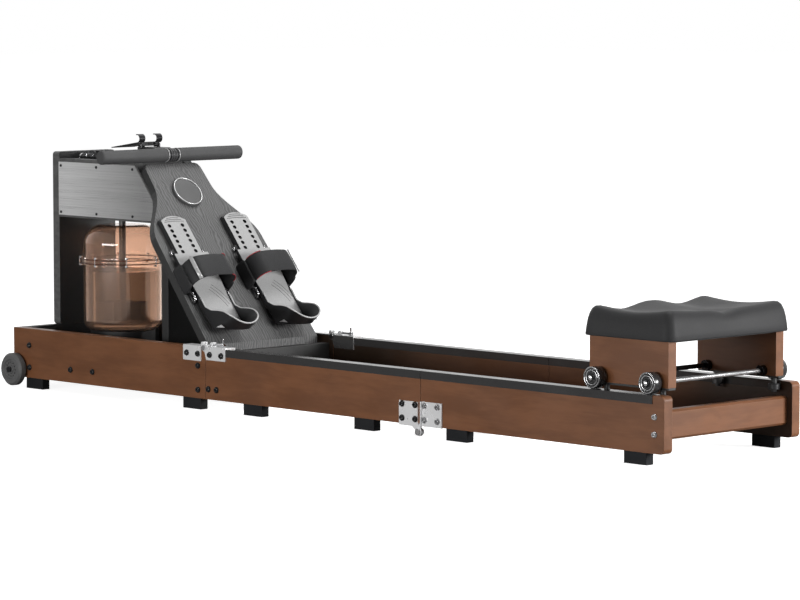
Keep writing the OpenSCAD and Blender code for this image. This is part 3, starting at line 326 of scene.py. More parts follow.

# %% [markdown]
# ## Black stained wood
# The tower and the footboard are charcoal, and the decks are a black stain made darker still as
# painted shade, with a grain that can be felt. It runs down the footboard and along the tower.
# Wavy bands give the raised grain, and they are also a little lighter, as where a brush has taken
# the stain off the ridges. Faces that turn away from the lit face get painted shade, nearly black.

# %% Black stained wood
def black_wood(name, turn, base, raised, relief, lit_face=None):
    def build(tree):
        spot = tree.node("Mapping", place(tree), Rotation=turn)
        warp = tree.noise(tree.vector("MULTIPLY", spot, (7.0, 16.0, 16.0)), 1.0, 3.0)
        bent = tree.vector("ADD", spot, tree.vector("MULTIPLY", warp, (0.0, 0.05, 0.05)))
        bands = tree.node("TexWave", Vector=bent, Scale=48.0, Distortion=5.5, Detail=2.5,
                          settings={"bands_direction": "Y"}, out=1)
        fibre = tree.noise(tree.vector("MULTIPLY", spot, (12.0, 420.0, 420.0)), 1.0, 3.0, 0.6)
        ridge = tree.math("MULTIPLY_ADD", fibre, 0.5, tree.math("MULTIPLY", bands, 0.5))
        edge = tree.use(soft_edges, Radius=0.0015)
        tone = tree.mix(tree.span(ridge, 0.25, 0.8), base, raised)
        # Painted shade: faces that look away from the lit face are painted nearly black.
        if lit_face:
            tone = tree.mix(tree.span(tree.facing(lit_face), 0.2, 0.8), (0.022, 0.022, 0.022), tone)
        tone = tree.mix(tree.math("MULTIPLY", edge["Edge"], 0.18), tone, (0.16, 0.16, 0.16))
        gloss = tree.use(uneven_gloss, Vector=place(tree), Low=0.38, High=0.55)
        return {"Base Color": tone, "Roughness": gloss["Roughness"],
                "Normal": tree.bump(ridge, relief, 0.0008, edge["Normal"])}

    return finish(name, build)


board_black = black_wood("black_wood_slope", (0, -SLOPE, 0), (0.055, 0.055, 0.055),
                         (0.115, 0.115, 0.115), 0.7, OUT_OF_BOARD)
tower_black = black_wood("black_wood_tower", (0, 0, 0), (0.08, 0.08, 0.079),
                         (0.105, 0.105, 0.104), 0.12, (0.0, -1.0, 0.0))
# The decks' near black is partly their black stain and partly painted shade.
deck_black = black_wood("black_wood_deck", (0, 0, 0), (0.007, 0.006, 0.005),
                        (0.016, 0.014, 0.012), 0.2, (0.0, 0.0, 1.0))
print("made", board_black.name, tower_black.name, deck_black.name)

# %% [markdown]
# ## Plastics, rubber and foam
# Moulded parts share one fine grain. What differs is the colour, the size of the grain and how
# the surface shines: the feet are dull, the clips are satin, the grips are soft foam.

# %% Plastics, rubber and foam
def moulded(name, color, scale, low, high, relief=0.1, radius=0.0006, **extra):
    def build(tree):
        grain = tree.use(moulded_grain, Vector=place(tree), Scale=scale)
        edge = tree.use(soft_edges, Radius=radius)
        gloss = tree.use(uneven_gloss, Vector=place(tree), Low=low, High=high)
        pale = tuple(min(1.0, c * 1.5 + 0.02) for c in color)
        shade = tuple(c * 0.85 for c in color)
        tone = tree.mix(tree.span(grain["Mask"], 0.3, 0.7), shade, color)
        tone = tree.mix(tree.math("MULTIPLY", edge["Edge"], 0.5), tone, pale)
        values = {"Base Color": tone, "Roughness": gloss["Roughness"],
                  "Normal": tree.bump(grain["Height"], relief, 0.0003, edge["Normal"])}
        values.update(extra)
        return values

    return finish(name, build)


black_plastic = moulded("black_plastic", (0.02, 0.02, 0.021), 1400, 0.35, 0.5)
satin_dark = moulded("satin_dark_plastic", (0.045, 0.045, 0.047), 1600, 0.3, 0.42)
foot_rubber = moulded("foot_rubber", (0.009, 0.010, 0.012), 900, 0.6, 0.8, 0.2,
                      **{"Specular IOR Level": 0.25})
wheel_rubber = moulded("wheel_rubber", (0.11, 0.11, 0.11), 1100, 0.45, 0.6)
tread_rubber = moulded("tread_rubber", (0.03, 0.03, 0.031), 1300, 0.16, 0.26, 0.05)
grip_foam = moulded("grip_foam", (0.055, 0.055, 0.056), 1900, 0.6, 0.75, 0.35)
cushion_foam = moulded("cushion_foam", (0.036, 0.036, 0.037), 2200, 0.44, 0.54, 0.12, 0.001,
                       **{"Specular IOR Level": 0.12})
strap_skin = moulded("strap_skin", (0.022, 0.022, 0.023), 2400, 0.5, 0.62, 0.25,
                     **{"Specular IOR Level": 0.25})
red_cord = moulded("red_cord", (0.35, 0.02, 0.03), 2600, 0.45, 0.6, 0.2)
track_coat = moulded("track_coat", (0.035, 0.034, 0.034), 1500, 0.16, 0.26, 0.03)
pale_bead = moulded("pale_bead", (0.5, 0.5, 0.5), 1500, 0.3, 0.4, 0.05)
sole_groove = moulded("sole_groove", (0.16, 0.16, 0.16), 1500, 0.4, 0.5, 0.05)
ring_copper = moulded("ring_copper", (0.09, 0.035, 0.022), 1500, 0.12, 0.2, 0.03)
print("made thirteen moulded finishes")

# %% [markdown]
# ## Metals
# The side plates are brushed along their length, with a painted sheen that gives way to painted
# shade towards the footboard. Clamps and pins are polished, the hinge plates are paler and duller.
# Bolts are blackened, with the bare steel showing a little at their edges. On the inner faces of
# the far side every metal gets painted shade.

# %% Metals
def metal(name, color, low, high, relief=0.02, worn=None, level=1.0):
    def build(tree):
        edge = tree.use(soft_edges, Radius=0.0005)
        gloss = tree.use(uneven_gloss, Vector=place(tree), Low=low, High=high)
        grain = tree.use(moulded_grain, Vector=place(tree), Scale=1800.0)
        tone = tree.mix(tree.math("MULTIPLY", edge["Edge"], 0.6), color, worn or color)
        # Painted shade: the inner faces of the far side are painted nearly black.
        tone = tree.mix(tree.use(inner_shade, Vector=place(tree))["Mask"], tone, (0.01, 0.01, 0.01))
        return {"Base Color": tone, "Metallic": level, "Roughness": gloss["Roughness"],
                "Normal": tree.bump(grain["Height"], relief, 0.0002, edge["Normal"])}

    return finish(name, build)


def build_brushed_plate(tree):
    lines = tree.use(brushed_lines, Vector=place(tree))
    edge = tree.use(soft_edges, Radius=0.0004)
    tone = tree.mix(tree.span(lines["Mask"], 0.3, 0.7), (0.62, 0.62, 0.62), (0.8, 0.8, 0.8))
    along = tree.node("SeparateXYZ", place(tree), out=None).outputs[0]
    # Painted sheen: full at the tank end, painted darker towards the footboard.
    painted_sheen = tree.node("MapRange", along, at(60, 0, 0).x, at(330, 0, 0).x, 1.0, 0.35)
    tone = tree.mix(painted_sheen, (0.1, 0.1, 0.1), tone)
    return {"Base Color": tone, "Metallic": 0.35,
            "Roughness": tree.span(lines["Height"], 0.3, 0.7, 0.26, 0.4), "Anisotropic": 0.6,
            "Normal": tree.bump(lines["Height"], 0.12, 0.0002, edge["Normal"])}


def build_axle_steel(tree):
    """Bright steel on the rear axle between the seat's blocks, dark everywhere else: on the front axle the
    dark is painted shade.
    """
    spot = tree.node("SeparateXYZ", place(tree), out=None).outputs
    rear = tree.math("GREATER_THAN", spot[0], at(1915, 0, 0).x)
    middle = tree.math("LESS_THAN", tree.math("ABSOLUTE", spot[1]), 0.136)
    bright = tree.math("MULTIPLY", rear, middle)
    edge = tree.use(soft_edges, Radius=0.0005)
    gloss = tree.use(uneven_gloss, Vector=place(tree), Low=0.14, High=0.26)
    return {"Base Color": tree.mix(bright, (0.03, 0.03, 0.031), (0.75, 0.75, 0.76)), "Metallic": 0.9,
            "Roughness": gloss["Roughness"], "Normal": edge["Normal"]}


polished = metal("polished_steel", (0.86, 0.86, 0.87), 0.06, 0.16)
plain_steel = metal("plain_steel", (0.62, 0.62, 0.63), 0.16, 0.3)
blackened = metal("blackened_steel", (0.035, 0.035, 0.037), 0.25, 0.38, worn=(0.3, 0.3, 0.3), level=0.7)
cap_grey = metal("cap_grey", (0.11, 0.11, 0.11), 0.3, 0.42, worn=(0.2, 0.2, 0.2), level=0.35)
brushed_plate = finish("brushed_plate", build_brushed_plate)
axle_steel = finish("axle_steel", build_axle_steel)
pale_steel = metal("pale_steel", (0.88, 0.88, 0.885), 0.2, 0.32, worn=(0.5, 0.5, 0.5), level=0.4)
bar_steel = metal("bar_steel", (0.5, 0.5, 0.5), 0.25, 0.35, worn=(0.8, 0.8, 0.8), level=0.4)
dim_steel = metal("dim_steel", (0.4, 0.4, 0.405), 0.2, 0.34, worn=(0.8, 0.8, 0.8))
print("made", polished.name, plain_steel.name, blackened.name, cap_grey.name, brushed_plate.name)

# %% [markdown]
# ## Heel rests
# A heel rest is one moulding of two colours: the sole and the tongue are light grey, and the
# walls of the cup are black, with a light rim. What tells them apart is which way a face looks,
# so the two colours are mixed by the direction of the surface.

# %% Two-colour heel rest
CUP_FROM = 436


def build_heel_rest(tree):
    edge = tree.use(soft_edges, Radius=0.0009)
    down = tree.vector("DOT_PRODUCT", place(tree), DOWN_BOARD, out="Value")
    cup_from = on_board(CUP_FROM, 0, 17).dot(Vector(DOWN_BOARD))
    cup = tree.span(down, cup_from, cup_from + 0.022)
    grain = tree.use(moulded_grain, Vector=place(tree), Scale=1500.0)
    light = tree.mix(tree.span(grain["Mask"], 0.3, 0.7), (0.33, 0.33, 0.33), (0.4, 0.4, 0.4))
    upward = tree.span(tree.facing(OUT_OF_BOARD), 0.72, 0.9)
    open_sole = tree.math("MULTIPLY", upward, tree.math("SUBTRACT", 1.0, cup))
    tone = tree.mix(open_sole, (0.014, 0.014, 0.015), light)
    tone = tree.mix(tree.math("MULTIPLY", edge["Edge"], 0.25), tone, (0.5, 0.5, 0.5))
    return {"Base Color": tone, "Roughness": 0.34,
            "Normal": tree.bump(grain["Height"], 0.08, 0.0003, edge["Normal"])}


heel_plastic = finish("heel_plastic", build_heel_rest)
print("made", heel_plastic.name)

# %% [markdown]
# ## Tank and water
# The tank is clear amber plastic. Glass needs a plain transmission value; the tint is in the
# base colour and gets deeper with each wall that the light crosses. The water has a darker one.

# %% Tank and water
def clear(name, color, rough, ior, through):
    def build(tree):
        smudge = tree.use(uneven_gloss, Vector=place(tree), Low=rough, High=rough + 0.05)
        return {"Base Color": color, "Roughness": smudge["Roughness"], "IOR": ior,
                "Transmission Weight": through}

    return finish(name, build)


tank_clear = clear("amber_clear", (0.86, 0.65, 0.53), 0.01, 1.46, 0.95)
tank_water = clear("tank_water", (0.44, 0.39, 0.33), 0.02, 1.33, 0.88)
print("made", tank_clear.name, tank_water.name)

# %% [markdown]
# ## Put the finishes on the frame
# Each node keeps its shape and gets its finish here. A node that is not in the list would show
# the plain grey it came with, so the list is checked for gaps.

# %% Assign the finishes
FINISHES = {
    wood_x: ["front_boards", "mid_boards", "rear_boards", "seat_blocks"],
    wood_y: ["mid_cross_boards", "rear_cross_boards"],
    board_black: ["footboard"],
    tower_black: ["tower_front_panel", "tower_sides", "tower_shelves"],
    deck_black: ["front_cross_boards", "seat_base"],
    black_plastic: ["footrest_bases", "tank_cradle", "recoil_case", "guide_roller_1", "guide_roller_2",
                    "guide_roller_3", "guide_roller_4"],
    satin_dark: ["strap_drum", "rear_idler", "front_idler", "strap_guide", "paddle", "handle_core"],
    foot_rubber: ["front_feet", "mid_feet", "rear_feet"],
    wheel_rubber: ["transport_wheel_near", "transport_wheel_far"],
    tread_rubber: ["front_rollers", "rear_rollers"],
    grip_foam: ["handle_grips"],
    cushion_foam: ["seat_pad"],
    strap_skin: ["foot_straps", "strap_inside", "strap_end"],
    track_coat: ["mid_tracks", "rear_tracks"],
    pale_steel: ["front_hinge_plates", "mid_hinge_plates", "rear_hinge_plates"],
    polished: ["hinge_pins", "tank_clamps", "lock_bolt_near", "lock_bolt_far", "idler_bracket"],
    plain_steel: ["shaft_bearing", "rear_bolts"],
    axle_steel: ["seat_axles"],
    blackened: ["front_bolts", "mid_bolts", "device_holder"],
    cap_grey: ["round_cap"],
    brushed_plate: ["side_plates"],
    heel_plastic: ["heel_rest_left", "heel_rest_right"],
    tank_clear: ["tank_body", "tank_dome"],
    tank_water: ["tank_water"],
}
for material, names in FINISHES.items():
    for name in names:
        mesh = nodes[name].data
        mesh.materials.clear()
        mesh.materials.append(material)
unfinished = set(nodes) - {n for names in FINISHES.values() for n in names}
print("nodes without a finish:", sorted(unfinished))

# %% [markdown]
# ## Ways to make a mesh
# The soft and the finely made pieces are built from three forms. A loft carries one outline along
# a row of places, a lathe turns a profile round an axle, and a tube follows a line.

# %% Loft, lathe and tube
def piece(name, form, finishes, body, marks=(), stands_for=()):
    """An object from a form, which is its points and faces; marks pick a finish for each face."""
    points, faces = form
    mesh = bpy.data.meshes.new(name)
    mesh.from_pydata([tuple(p) for p in points], [], faces)
    for material in finishes:
        mesh.materials.append(material)
    for face, mark in zip(mesh.polygons, marks):
        face.material_index = mark
    for face in mesh.polygons:
        face.use_smooth = True
    shape = bmesh.new()
    shape.from_mesh(mesh)
    bmesh.ops.recalc_face_normals(shape, faces=shape.faces)
    shape.to_mesh(mesh)
    shape.free()
    made = bpy.data.objects.new(name, mesh)
    bpy.context.scene.collection.objects.link(made)
    if body:
        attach(made, body)
    if stands_for:
        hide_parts(*stands_for)
    return made


def skin(rings):
    """Closed rings of equal length joined in a row, with a face over the first and the last."""
    n = len(rings[0])
    points = [point for ring in rings for point in ring]
    faces = [(i * n + k, i * n + (k + 1) % n, (i + 1) * n + (k + 1) % n, (i + 1) * n + k)
             for i in range(len(rings) - 1) for k in range(n)]
    last = len(points) - n
    return points, faces + [tuple(range(n))[::-1], tuple(range(last, last + n))]


def loft(frames, outline):
    """A closed outline [(u, v)] carried along frames [(place, across, up)]."""
    return skin([[spot + across * u + up * v for u, v in outline] for spot, across, up in frames])


def ahead(line, i):
    """The way a line goes at its point i."""
    return (line[min(i + 1, len(line) - 1)] - line[max(i - 1, 0)]).normalized()


def turns(steps):
    """Angles once round, the last one back at the first."""
    return [math.tau * k / steps for k in range(steps + 1)]


def band_outline(width, thick, crown):
    """Cross-section of a soft band: rounded edges and a top that is crown thicker in the middle."""
    top = []
    for k in range(13):
        turn = math.pi * k / 12
        u = width / 2 * math.cos(turn)
        edge = math.sin(turn) ** 0.35
        top.append((u, edge * (thick / 2 + crown * math.sin(turn) ** 2)))
    low = [(u, -v * thick / (thick + 2 * crown)) for u, v in top[-2:0:-1]]
    return top + low


def lathe(profile, side, middle, steps=32):
    """Turns a profile [(radius, y)] in millimetres round a line along Y; side -1 is the near side."""
    n = len(profile)
    points = [middle + Vector((r * math.cos(a), side * y, r * math.sin(a))) / 1000
              for a in turns(steps)[:-1] for r, y in profile]
    faces = [(k * n + i, k * n + i + 1, (k + 1) % steps * n + i + 1, (k + 1) % steps * n + i)
             for k in range(steps) for i in range(n - 1)]
    return points, faces


def tube(line, radius, sides=8):
    frames = []
    for i, spot in enumerate(line):
        way = ahead(line, i)
        across = way.cross(Vector((0.31, 0.17, 0.93))).normalized()
        frames.append((spot, across, way.cross(across)))
    return loft(frames, [(radius * math.cos(a), radius * math.sin(a)) for a in turns(sides)[:-1]])


def smooth_line(spots, per=6):
    """A soft curve through places, with per points between each two."""
    ends = [spots[0]] + list(spots) + [spots[-1]]
    line = []
    for a, b, c, d in zip(ends, ends[1:], ends[2:], ends[3:]):
        for k in range(per):
            t = k / per
            line.append(0.5 * (2 * b + (c - a) * t + (2 * a - 5 * b + 4 * c - d) * t * t
                               + (3 * b - a - 3 * c + d) * t ** 3))
    return line + [spots[-1]]


print("loft, lathe and tube ready")

# %% [markdown]
# ## Seat cushion
# The cushion is one piece of soft foam in a smooth skin. Its lower edge is flat on the base
# board, its sides draw in as they rise, and its top is sculpted: raised corners, a raised front
# middle, hollows for the sitting bones and a notch at the back. Each level has its share of the
# height, how far it draws in, and its share of the waves of the top.

# %% Seat cushion
PAD_LONG, PAD_WIDE, PAD_HIGH, PAD_WAVE = 238, 370, 60, 12
PAD_MIDDLE = (1916, 0, 244.6)
PAD_LEVELS = [(0, 0, 0), (0.04, -0.7, 0), (0.24, 0.5, 0), (0.5, 2.8, 0.1), (0.7, 6.0, 0.35),
              (0.85, 10.5, 0.7), (0.94, 16.5, 0.95), (0.975, 24, 1)]


def pad_ring(inset, arc=8, side=14):
    hx, hy = PAD_LONG / 2 - inset, PAD_WIDE / 2 - inset
    r = max(22 - 0.6 * inset, 4)
    ring = []
    for q, (sx, sy) in enumerate(((1, 1), (-1, 1), (-1, -1), (1, -1))):
        corner = []
        for k in range(arc + 1):
            turn = math.radians(90 * q + 90 * k / arc)
            corner.append((sx * (hx - r) + r * math.cos(turn), sy * (hy - r) + r * math.sin(turn)))
        ring += corner
        nx, ny = ((-1, 1), (-1, -1), (1, -1), (1, 1))[q]
        turn = math.radians(90 * q + 90)
        goal = (nx * (hx - r) + r * math.cos(turn), ny * (hy - r) + r * math.sin(turn))
        for k in range(1, side + 1):
            t = k / (side + 1)
            ring.append(tuple(a + (b - a) * t for a, b in zip(corner[-1], goal)))
    return ring


def pad_top(x, y):
    u, v = 2 * x / PAD_LONG, 2 * y / PAD_WIDE
    front, rear = max(0, (1 - u) / 2) ** 1.5, max(0, (1 + u) / 2) ** 1.5
    shape = front * (0.6 * math.cos(math.radians(379 * v)) - 0.4)
    shape += rear * (0.85 * v * v - 0.4 - 0.7 * math.exp(-v * v / 0.02))
    return PAD_WAVE * (shape - 0.8 * max(0, 1 - u * u) ** 1.5 + 0.15)


def make_cushion():
    def pad_place(x, y, z):
        return at(*(m + d for m, d in zip(PAD_MIDDLE, (x, y, z))))

    rings = []
    for high, inset, share in PAD_LEVELS:
        rings.append([pad_place(x, y, PAD_HIGH * high + share * pad_top(x, y)) for x, y in pad_ring(inset)])
    top_level, top_inset, _ = PAD_LEVELS[-1]
    for scale in (0.93, 0.84, 0.74, 0.63, 0.52, 0.4, 0.28, 0.15, 0.05):
        inner = [(x * scale, y * scale) for x, y in pad_ring(top_inset)]
        rings.append([pad_place(x, y, PAD_HIGH * top_level + pad_top(x, y)) for x, y in inner])
    cushion = piece("seat_cushion", skin(rings), [cushion_foam], "seat",
                    stands_for=("seat_pad",))
    return cushion


cushion = make_cushion()
print(cushion.name, len(cushion.data.vertices), "vertices")

# %% [markdown]
# ## Foot straps
# Each strap is a thick soft band that arches over the foot. Its lower ends go into black tabs on
# the base, a steel bar sits on its outer shoulder and a thin red cord edges its inner side. The
# tabs narrow as they rise: each height over the board has its share of the full width.

# %% Foot straps
STRAP_S, STRAP_HALF = 331, 29
TAB_Y, BAR_Y, BAR_N = 62.5, 53.2, 60.0
TAB_SHARES = ((0.4, 0.97), (2, 1), (8, 1), (16, 0.99), (24, 0.96), (30, 0.9), (32.5, 0.8))


def arch_spots(grow):
    """Line of the strap over a foot, in (y, n), from the outer tab to the inner one."""
    half, top, bend = 58.5 + grow, 65.5 + grow, 30 + grow
    spots = [(-half, 4), (-half, 20), (-half, top - bend)]
    for k in range(1, 7):
        turn = math.radians(180 - 15 * k)
        spots.append((-half + bend + bend * math.cos(turn), top - bend + bend * math.sin(turn)))
    spots += [(-14, top + 1.4), (0, top + 1.8), (14, top + 1.4)]
    return spots + [(-y, n) for y, n in spots[8::-1]]


def make_foot_strap(side, name):
    centre = side * REST_Y
    spots = [(centre - side * y, n) for y, n in arch_spots(0)]
    line = smooth_line([on_board(STRAP_S, y, n) for y, n in spots], 3)
    down = Vector(DOWN_BOARD)
    frames = [(spot, down, ahead(line, i).cross(down)) for i, spot in enumerate(line)]
    band = band_outline(2 * STRAP_HALF / 1000, 0.0042, 0.0008)
    strap = piece("foot_strap_" + name, loft(frames, band), [strap_skin], "front_frame")
    for part, sign in (("outer", 1), ("inner", -1)):
        y = centre + side * sign * TAB_Y
        rings = [[on_board(STRAP_S, y, n) + down * u * share + Vector((0, v, 0))
                  for u, v in band_outline(0.067, 0.0075, 0.001)] for n, share in TAB_SHARES]
        piece("strap_tab_%s_%s" % (name, part), skin(rings), [strap_skin], "front_frame")
    bar = [on_board(STRAP_S + d, centre + side * BAR_Y, BAR_N) for d in (-30, -10, 10, 30)]
    tilt = Vector((0, 0.66, 0)) * side - Vector(OUT_OF_BOARD) * 0.75
    frames = [(spot, tilt.normalized(), down.cross(tilt).normalized()) for spot in bar]
    piece("strap_bar_" + name, loft(frames, band_outline(0.0085, 0.0026, 0.0003)), [bar_steel],
          "front_frame")
    edge = [(centre - side * y, n + 1.5) for y, n in arch_spots(0.6) if y > 30 and n > 23.5]
    for part, s in (("upper", STRAP_S - STRAP_HALF), ("lower", STRAP_S + STRAP_HALF)):
        cord = smooth_line([on_board(s, y, n) for y, n in edge], 4)
        piece("strap_cord_%s_%s" % (name, part), tube(cord, 0.0009), [red_cord], "front_frame")
    return strap


straps = [make_foot_strap(side, name) for side, name in SIDES]
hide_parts("foot_straps")
print("two foot straps with tabs, bars and cords")

# %% [markdown]
# ## Details of the foot rests and the tank
# Thin ridges cross the top of each tongue, curved lines run down the soles, a pale bead follows
# the rim of each heel cup and a small pale arrow marks its wall. Small steel clips hold the base.
# A thin bright rim runs round the cap, and two copper rings close the joint of the tank. The rim
# of a heel cup rises towards the back: each s down the board has its height n.

# %% Details of the foot rests and the tank
CAP_S, CAP_R, CAP_RISE = 85, 37.0, 8.0
TANK_X, TANK_JOINT_Z, RING_R, RING_RISE = 151, 295, 100.6, 4.4
CUP_S, CUP_R, ARROW_Y = 457, 44, 46.3
TONGUE_S, TONGUE_R, TONGUE_N, SOLE_N = 216, 60, 14.1, 17.05
CLIP_S, CLIP_RING_Y, CLIP_BAR_Y = 252, 46.5, 51
RIM = [(383, 21.5), (400, 21), (413, 21), (422, 26), (431, 33), (440, 45), (448, 55), (459, 66),
       (470, 72), (482, 76.5), (495, 77.7), (503, 78)]


def rim_height(s):
    for (s0, n0), (s1, n1) in zip(RIM, RIM[1:]):
        if s <= s1:
            return n0 + (n1 - n0) * max(0, s - s0) / (s1 - s0)
    return RIM[-1][1]


def make_rest_details(side, body):
    centre = side * REST_Y
    name = body[len("heel_rest_"):]
    straight = (386, 400, 413, 424, 432, 441, 450, CUP_S)
    rim = [(s, -CUP_R) for s in straight]
    for a in range(12, 180, 12):
        rim.append((CUP_S + CUP_R * math.sin(math.radians(a)), -CUP_R * math.cos(math.radians(a))))
    rim += [(s, CUP_R) for s in reversed(straight)]
    line = smooth_line([on_board(s, centre + y, rim_height(s) + 0.2) for s, y in rim], 2)
    piece("cup_rim_" + name, tube(line, 0.0017), [pale_bead], body)
    for k, s in enumerate((161, 166, 171)):
        half = math.sqrt(TONGUE_R ** 2 - (TONGUE_S - s) ** 2) * 0.72
        spots = [on_board(s + 1.5 * t * t, centre + half * t, TONGUE_N) for t in (-1, -0.5, 0, 0.5, 1)]
        line = smooth_line(spots, 4)
        piece("tongue_ridge_%s_%d" % (name, k + 1), tube(line, 0.0009), [sole_groove], body)
    for k in range(3):
        spots = [on_board(352 + 6 * k + 50 * t, centre + 26 - 7 * k + 14 * t - 16 * (1 - t) ** 2, SOLE_N)
                 for t in (0, 0.25, 0.5, 0.75, 1.0)]
        piece("sole_line_%s_%d" % (name, k + 1), tube(smooth_line(spots, 4), 0.0006), [sole_groove], body)
    for part, sign in (("outer", side), ("inner", -side)):
        y = centre + sign * ARROW_Y
        corners = [(471, 24), (476, 41), (488, 47)]
        points = [on_board(s, y + d, n) for d in (0, 0.5 * sign) for s, n in corners]
        faces = [(0, 1, 2), (3, 5, 4), (0, 3, 4, 1), (1, 4, 5, 2), (2, 5, 3, 0)]
        arrow = piece("cup_arrow_%s_%s" % (name, part), (points, faces), [pale_bead], body)
        for face in arrow.data.polygons:
            face.use_smooth = False


def make_clips(side, name):
    centre = side * REST_Y
    for sign, part in SIDES:
        ring = [on_board(CLIP_S + 4.5 * math.cos(a), centre + sign * CLIP_RING_Y, 4.4 + 2.8 * math.sin(a))
                for a in turns(12)]
        piece("clip_ring_%s_%s" % (name, part), tube(ring, 0.0014), [polished], "front_frame")
        y = centre + sign * CLIP_BAR_Y
        bar = smooth_line([on_board(s, y, n) for s, n in ((366, 8), (369, 12), (383, 12), (386, 6))], 4)
        piece("clip_bar_%s_%s" % (name, part), tube(bar, 0.0026), [polished], "front_frame")
        foot = [on_board(s, y, 2.5) for s in (362, 376, 390)]
        piece("clip_foot_%s_%s" % (name, part), tube(foot, 0.0042), [black_plastic], "front_frame")


for (side, name), body in zip(SIDES, ("heel_rest_left", "heel_rest_right")):
    make_rest_details(side, body)
    make_clips(side, name)
ring = [on_board(CAP_S + CAP_R * math.cos(a), CAP_R * math.sin(a), CAP_RISE) for a in turns(48)]
piece("cap_rim_outer", tube(ring, 0.0009), [pale_steel], "front_frame")
for name, rise in (("upper", RING_RISE), ("lower", -RING_RISE)):
    ring = [at(TANK_X + RING_R * math.cos(a), RING_R * math.sin(a), TANK_JOINT_Z + rise) for a in turns(64)]
    piece("tank_ring_" + name, tube(ring, 0.0013), [ring_copper], "front_frame")
print("rims, ridges, arrows, clips and the tank's rings made")

# %% [markdown]
# ## Strap and handle
# The pull strap leaves the guide under the handle and runs to the handle. Inside the tower it
# turns back over an idler and twists down to the drum. The grips are foam sleeves with soft domed
# ends, and two thin bright rings close them in.

# %% Pull strap and handle
HANDLE_X, HANDLE_Z = 326, 548
STRAP_Z = HANDLE_Z + 0.8
IDLER_X, IDLER_Z, IDLER_R = 62, 535.7, 13.1
ACROSS, UP = Vector((0, 1, 0)), Vector((0, 0, 1))


def make_strap_end():
    frames = [(at(x, 0, STRAP_Z), ACROSS, UP) for x in range(287, 322, 2)]
    end = piece("pull_strap_end", loft(frames, band_outline(0.025, 0.0016, 0.0001)), [strap_skin], None,
                stands_for=("strap_end",))
    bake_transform(end)


def make_strap_inside():
    """From the guide over the rear idler, then down to the drum with a quarter turn."""
    frames = [(at(x, 0, STRAP_Z), ACROSS, UP) for x in range(285, 61, -8)]
    for k in range(1, 13):
        turn = math.radians(15 * k)
        out = Vector((-math.sin(turn), 0, math.cos(turn)))
        frames.append((at(IDLER_X, 0, IDLER_Z) + out * IDLER_R / 1000, ACROSS, out))
    drum, idler = Vector((149, -31.4, 450.1)), Vector((IDLER_X, 0, IDLER_Z - IDLER_R))
    for k in range(1, 25):
        u = 1 - k / 24
        ease = (1 - math.cos(math.pi * u)) / 2
        x, _, z = drum + (idler - drum) * Vector((u, 0, u * u))
        turn = math.radians(90 * ease)
        across = Vector((0, math.sin(turn), math.cos(turn)))
        frames.append((at(x, drum.y * (1 - ease), z), across, Vector((0, -math.cos(turn), math.sin(turn)))))
    piece("pull_strap_inside", loft(frames, band_outline(0.0245, 0.0015, 0.0001)), [strap_skin],
          "front_frame", stands_for=("strap_inside",))


GRIP = [(11.2, 18.4), (15.2, 18.4), (15.9, 19.3), (16, 21), (16, 205), (15.9, 207.5), (15.2, 209.8),
        (13.6, 211.2), (11.0, 211.8), (6, 212), (0.01, 212)]
GRIP_RING = [(15.2, 15.4), (16.3, 15.7), (16.4, 16.4), (16.3, 17.1), (15.2, 17.4), (15.2, 15.4)]


def make_grips():
    middle = at(HANDLE_X, 0, HANDLE_Z)
    for side, name in SIDES:
        piece("grip_" + name, lathe(GRIP, side, middle), [grip_foam], "handle")
        piece("grip_ring_" + name, lathe(GRIP_RING, side, middle), [bar_steel], "handle")
    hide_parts("handle_grips")


make_strap_end()
make_strap_inside()
make_grips()
print("pull strap and grips made")

# %% [markdown]
# ## Seat rollers
# Each roller has a dark tread between bright ring faces with a dark groove. The four of them are
# turned on one profile, and each pair rides on the body of its axle. Each point of the roller's
# profile has its radius, its way along the axle, and 1 where bare steel follows.

# %% Seat rollers
AXLE_Z, ROLLER_Y, ROLLER_STEPS = 162.2, 180.5, 48
AXLES = {"front": 1841, "rear": 1989}
ROLLER = [(13.1, 0.8, 1), (13.6, 0.2, 1), (16.2, 0.2, 0), (16.5, 1.2, 0), (18.4, 1.2, 0), (18.8, 0.3, 1),
          (21.2, 0.3, 1), (22, 1.4, 0), (22, 20.6, 1), (21.2, 21.7, 1), (18.8, 21.7, 0), (18.4, 20.8, 0),
          (16.5, 20.8, 0), (16.2, 21.8, 1), (13.6, 21.8, 1), (13.1, 21.2, 0), (13.1, 0.8, 0)]
NUT = [(7.0, 200.8), (7.2, 203.0), (6.6, 205.0), (4.6, 206.6), (2.4, 207.3), (0.01, 207.5)]
SHIELD = [(7.6, 200.8), (8.0, 201.6), (12.4, 201.8), (12.9, 200.8)]


def make_rollers(name):
    body, middle = name + "_rollers", at(AXLES[name], 0, AXLE_Z)
    profile = [(r, ROLLER_Y + y) for r, y, _ in ROLLER]
    marks = [mark for _ in range(ROLLER_STEPS) for _, _, mark in ROLLER[:-1]]
    made = [piece("%s_%s" % (body, part), lathe(profile, side, middle, ROLLER_STEPS),
                  [tread_rubber, dim_steel], body, marks) for side, part in SIDES]
    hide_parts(body)


def make_axle_nuts(name):
    middle = at(AXLES[name], 0, AXLE_Z)
    for side, part in SIDES:
        piece("axle_nut_%s_%s" % (name, part), lathe(NUT, side, middle, 24), [polished], "seat")
        piece("bearing_shield_%s_%s" % (name, part), lathe(SHIELD, side, middle), [black_plastic], "seat")


for name in AXLES:
    make_rollers(name)
for name in AXLES:
    make_axle_nuts(name)
print("rollers and axle nuts made")

# %% [markdown]
# ## Light and floor
# The photograph is a studio picture on white. The world is white where the camera looks and in
# mirror images of what lies behind the machine, and weak as a light. One large panel stands at
# the seat end, one hangs above, and a long low one fills from the near side.

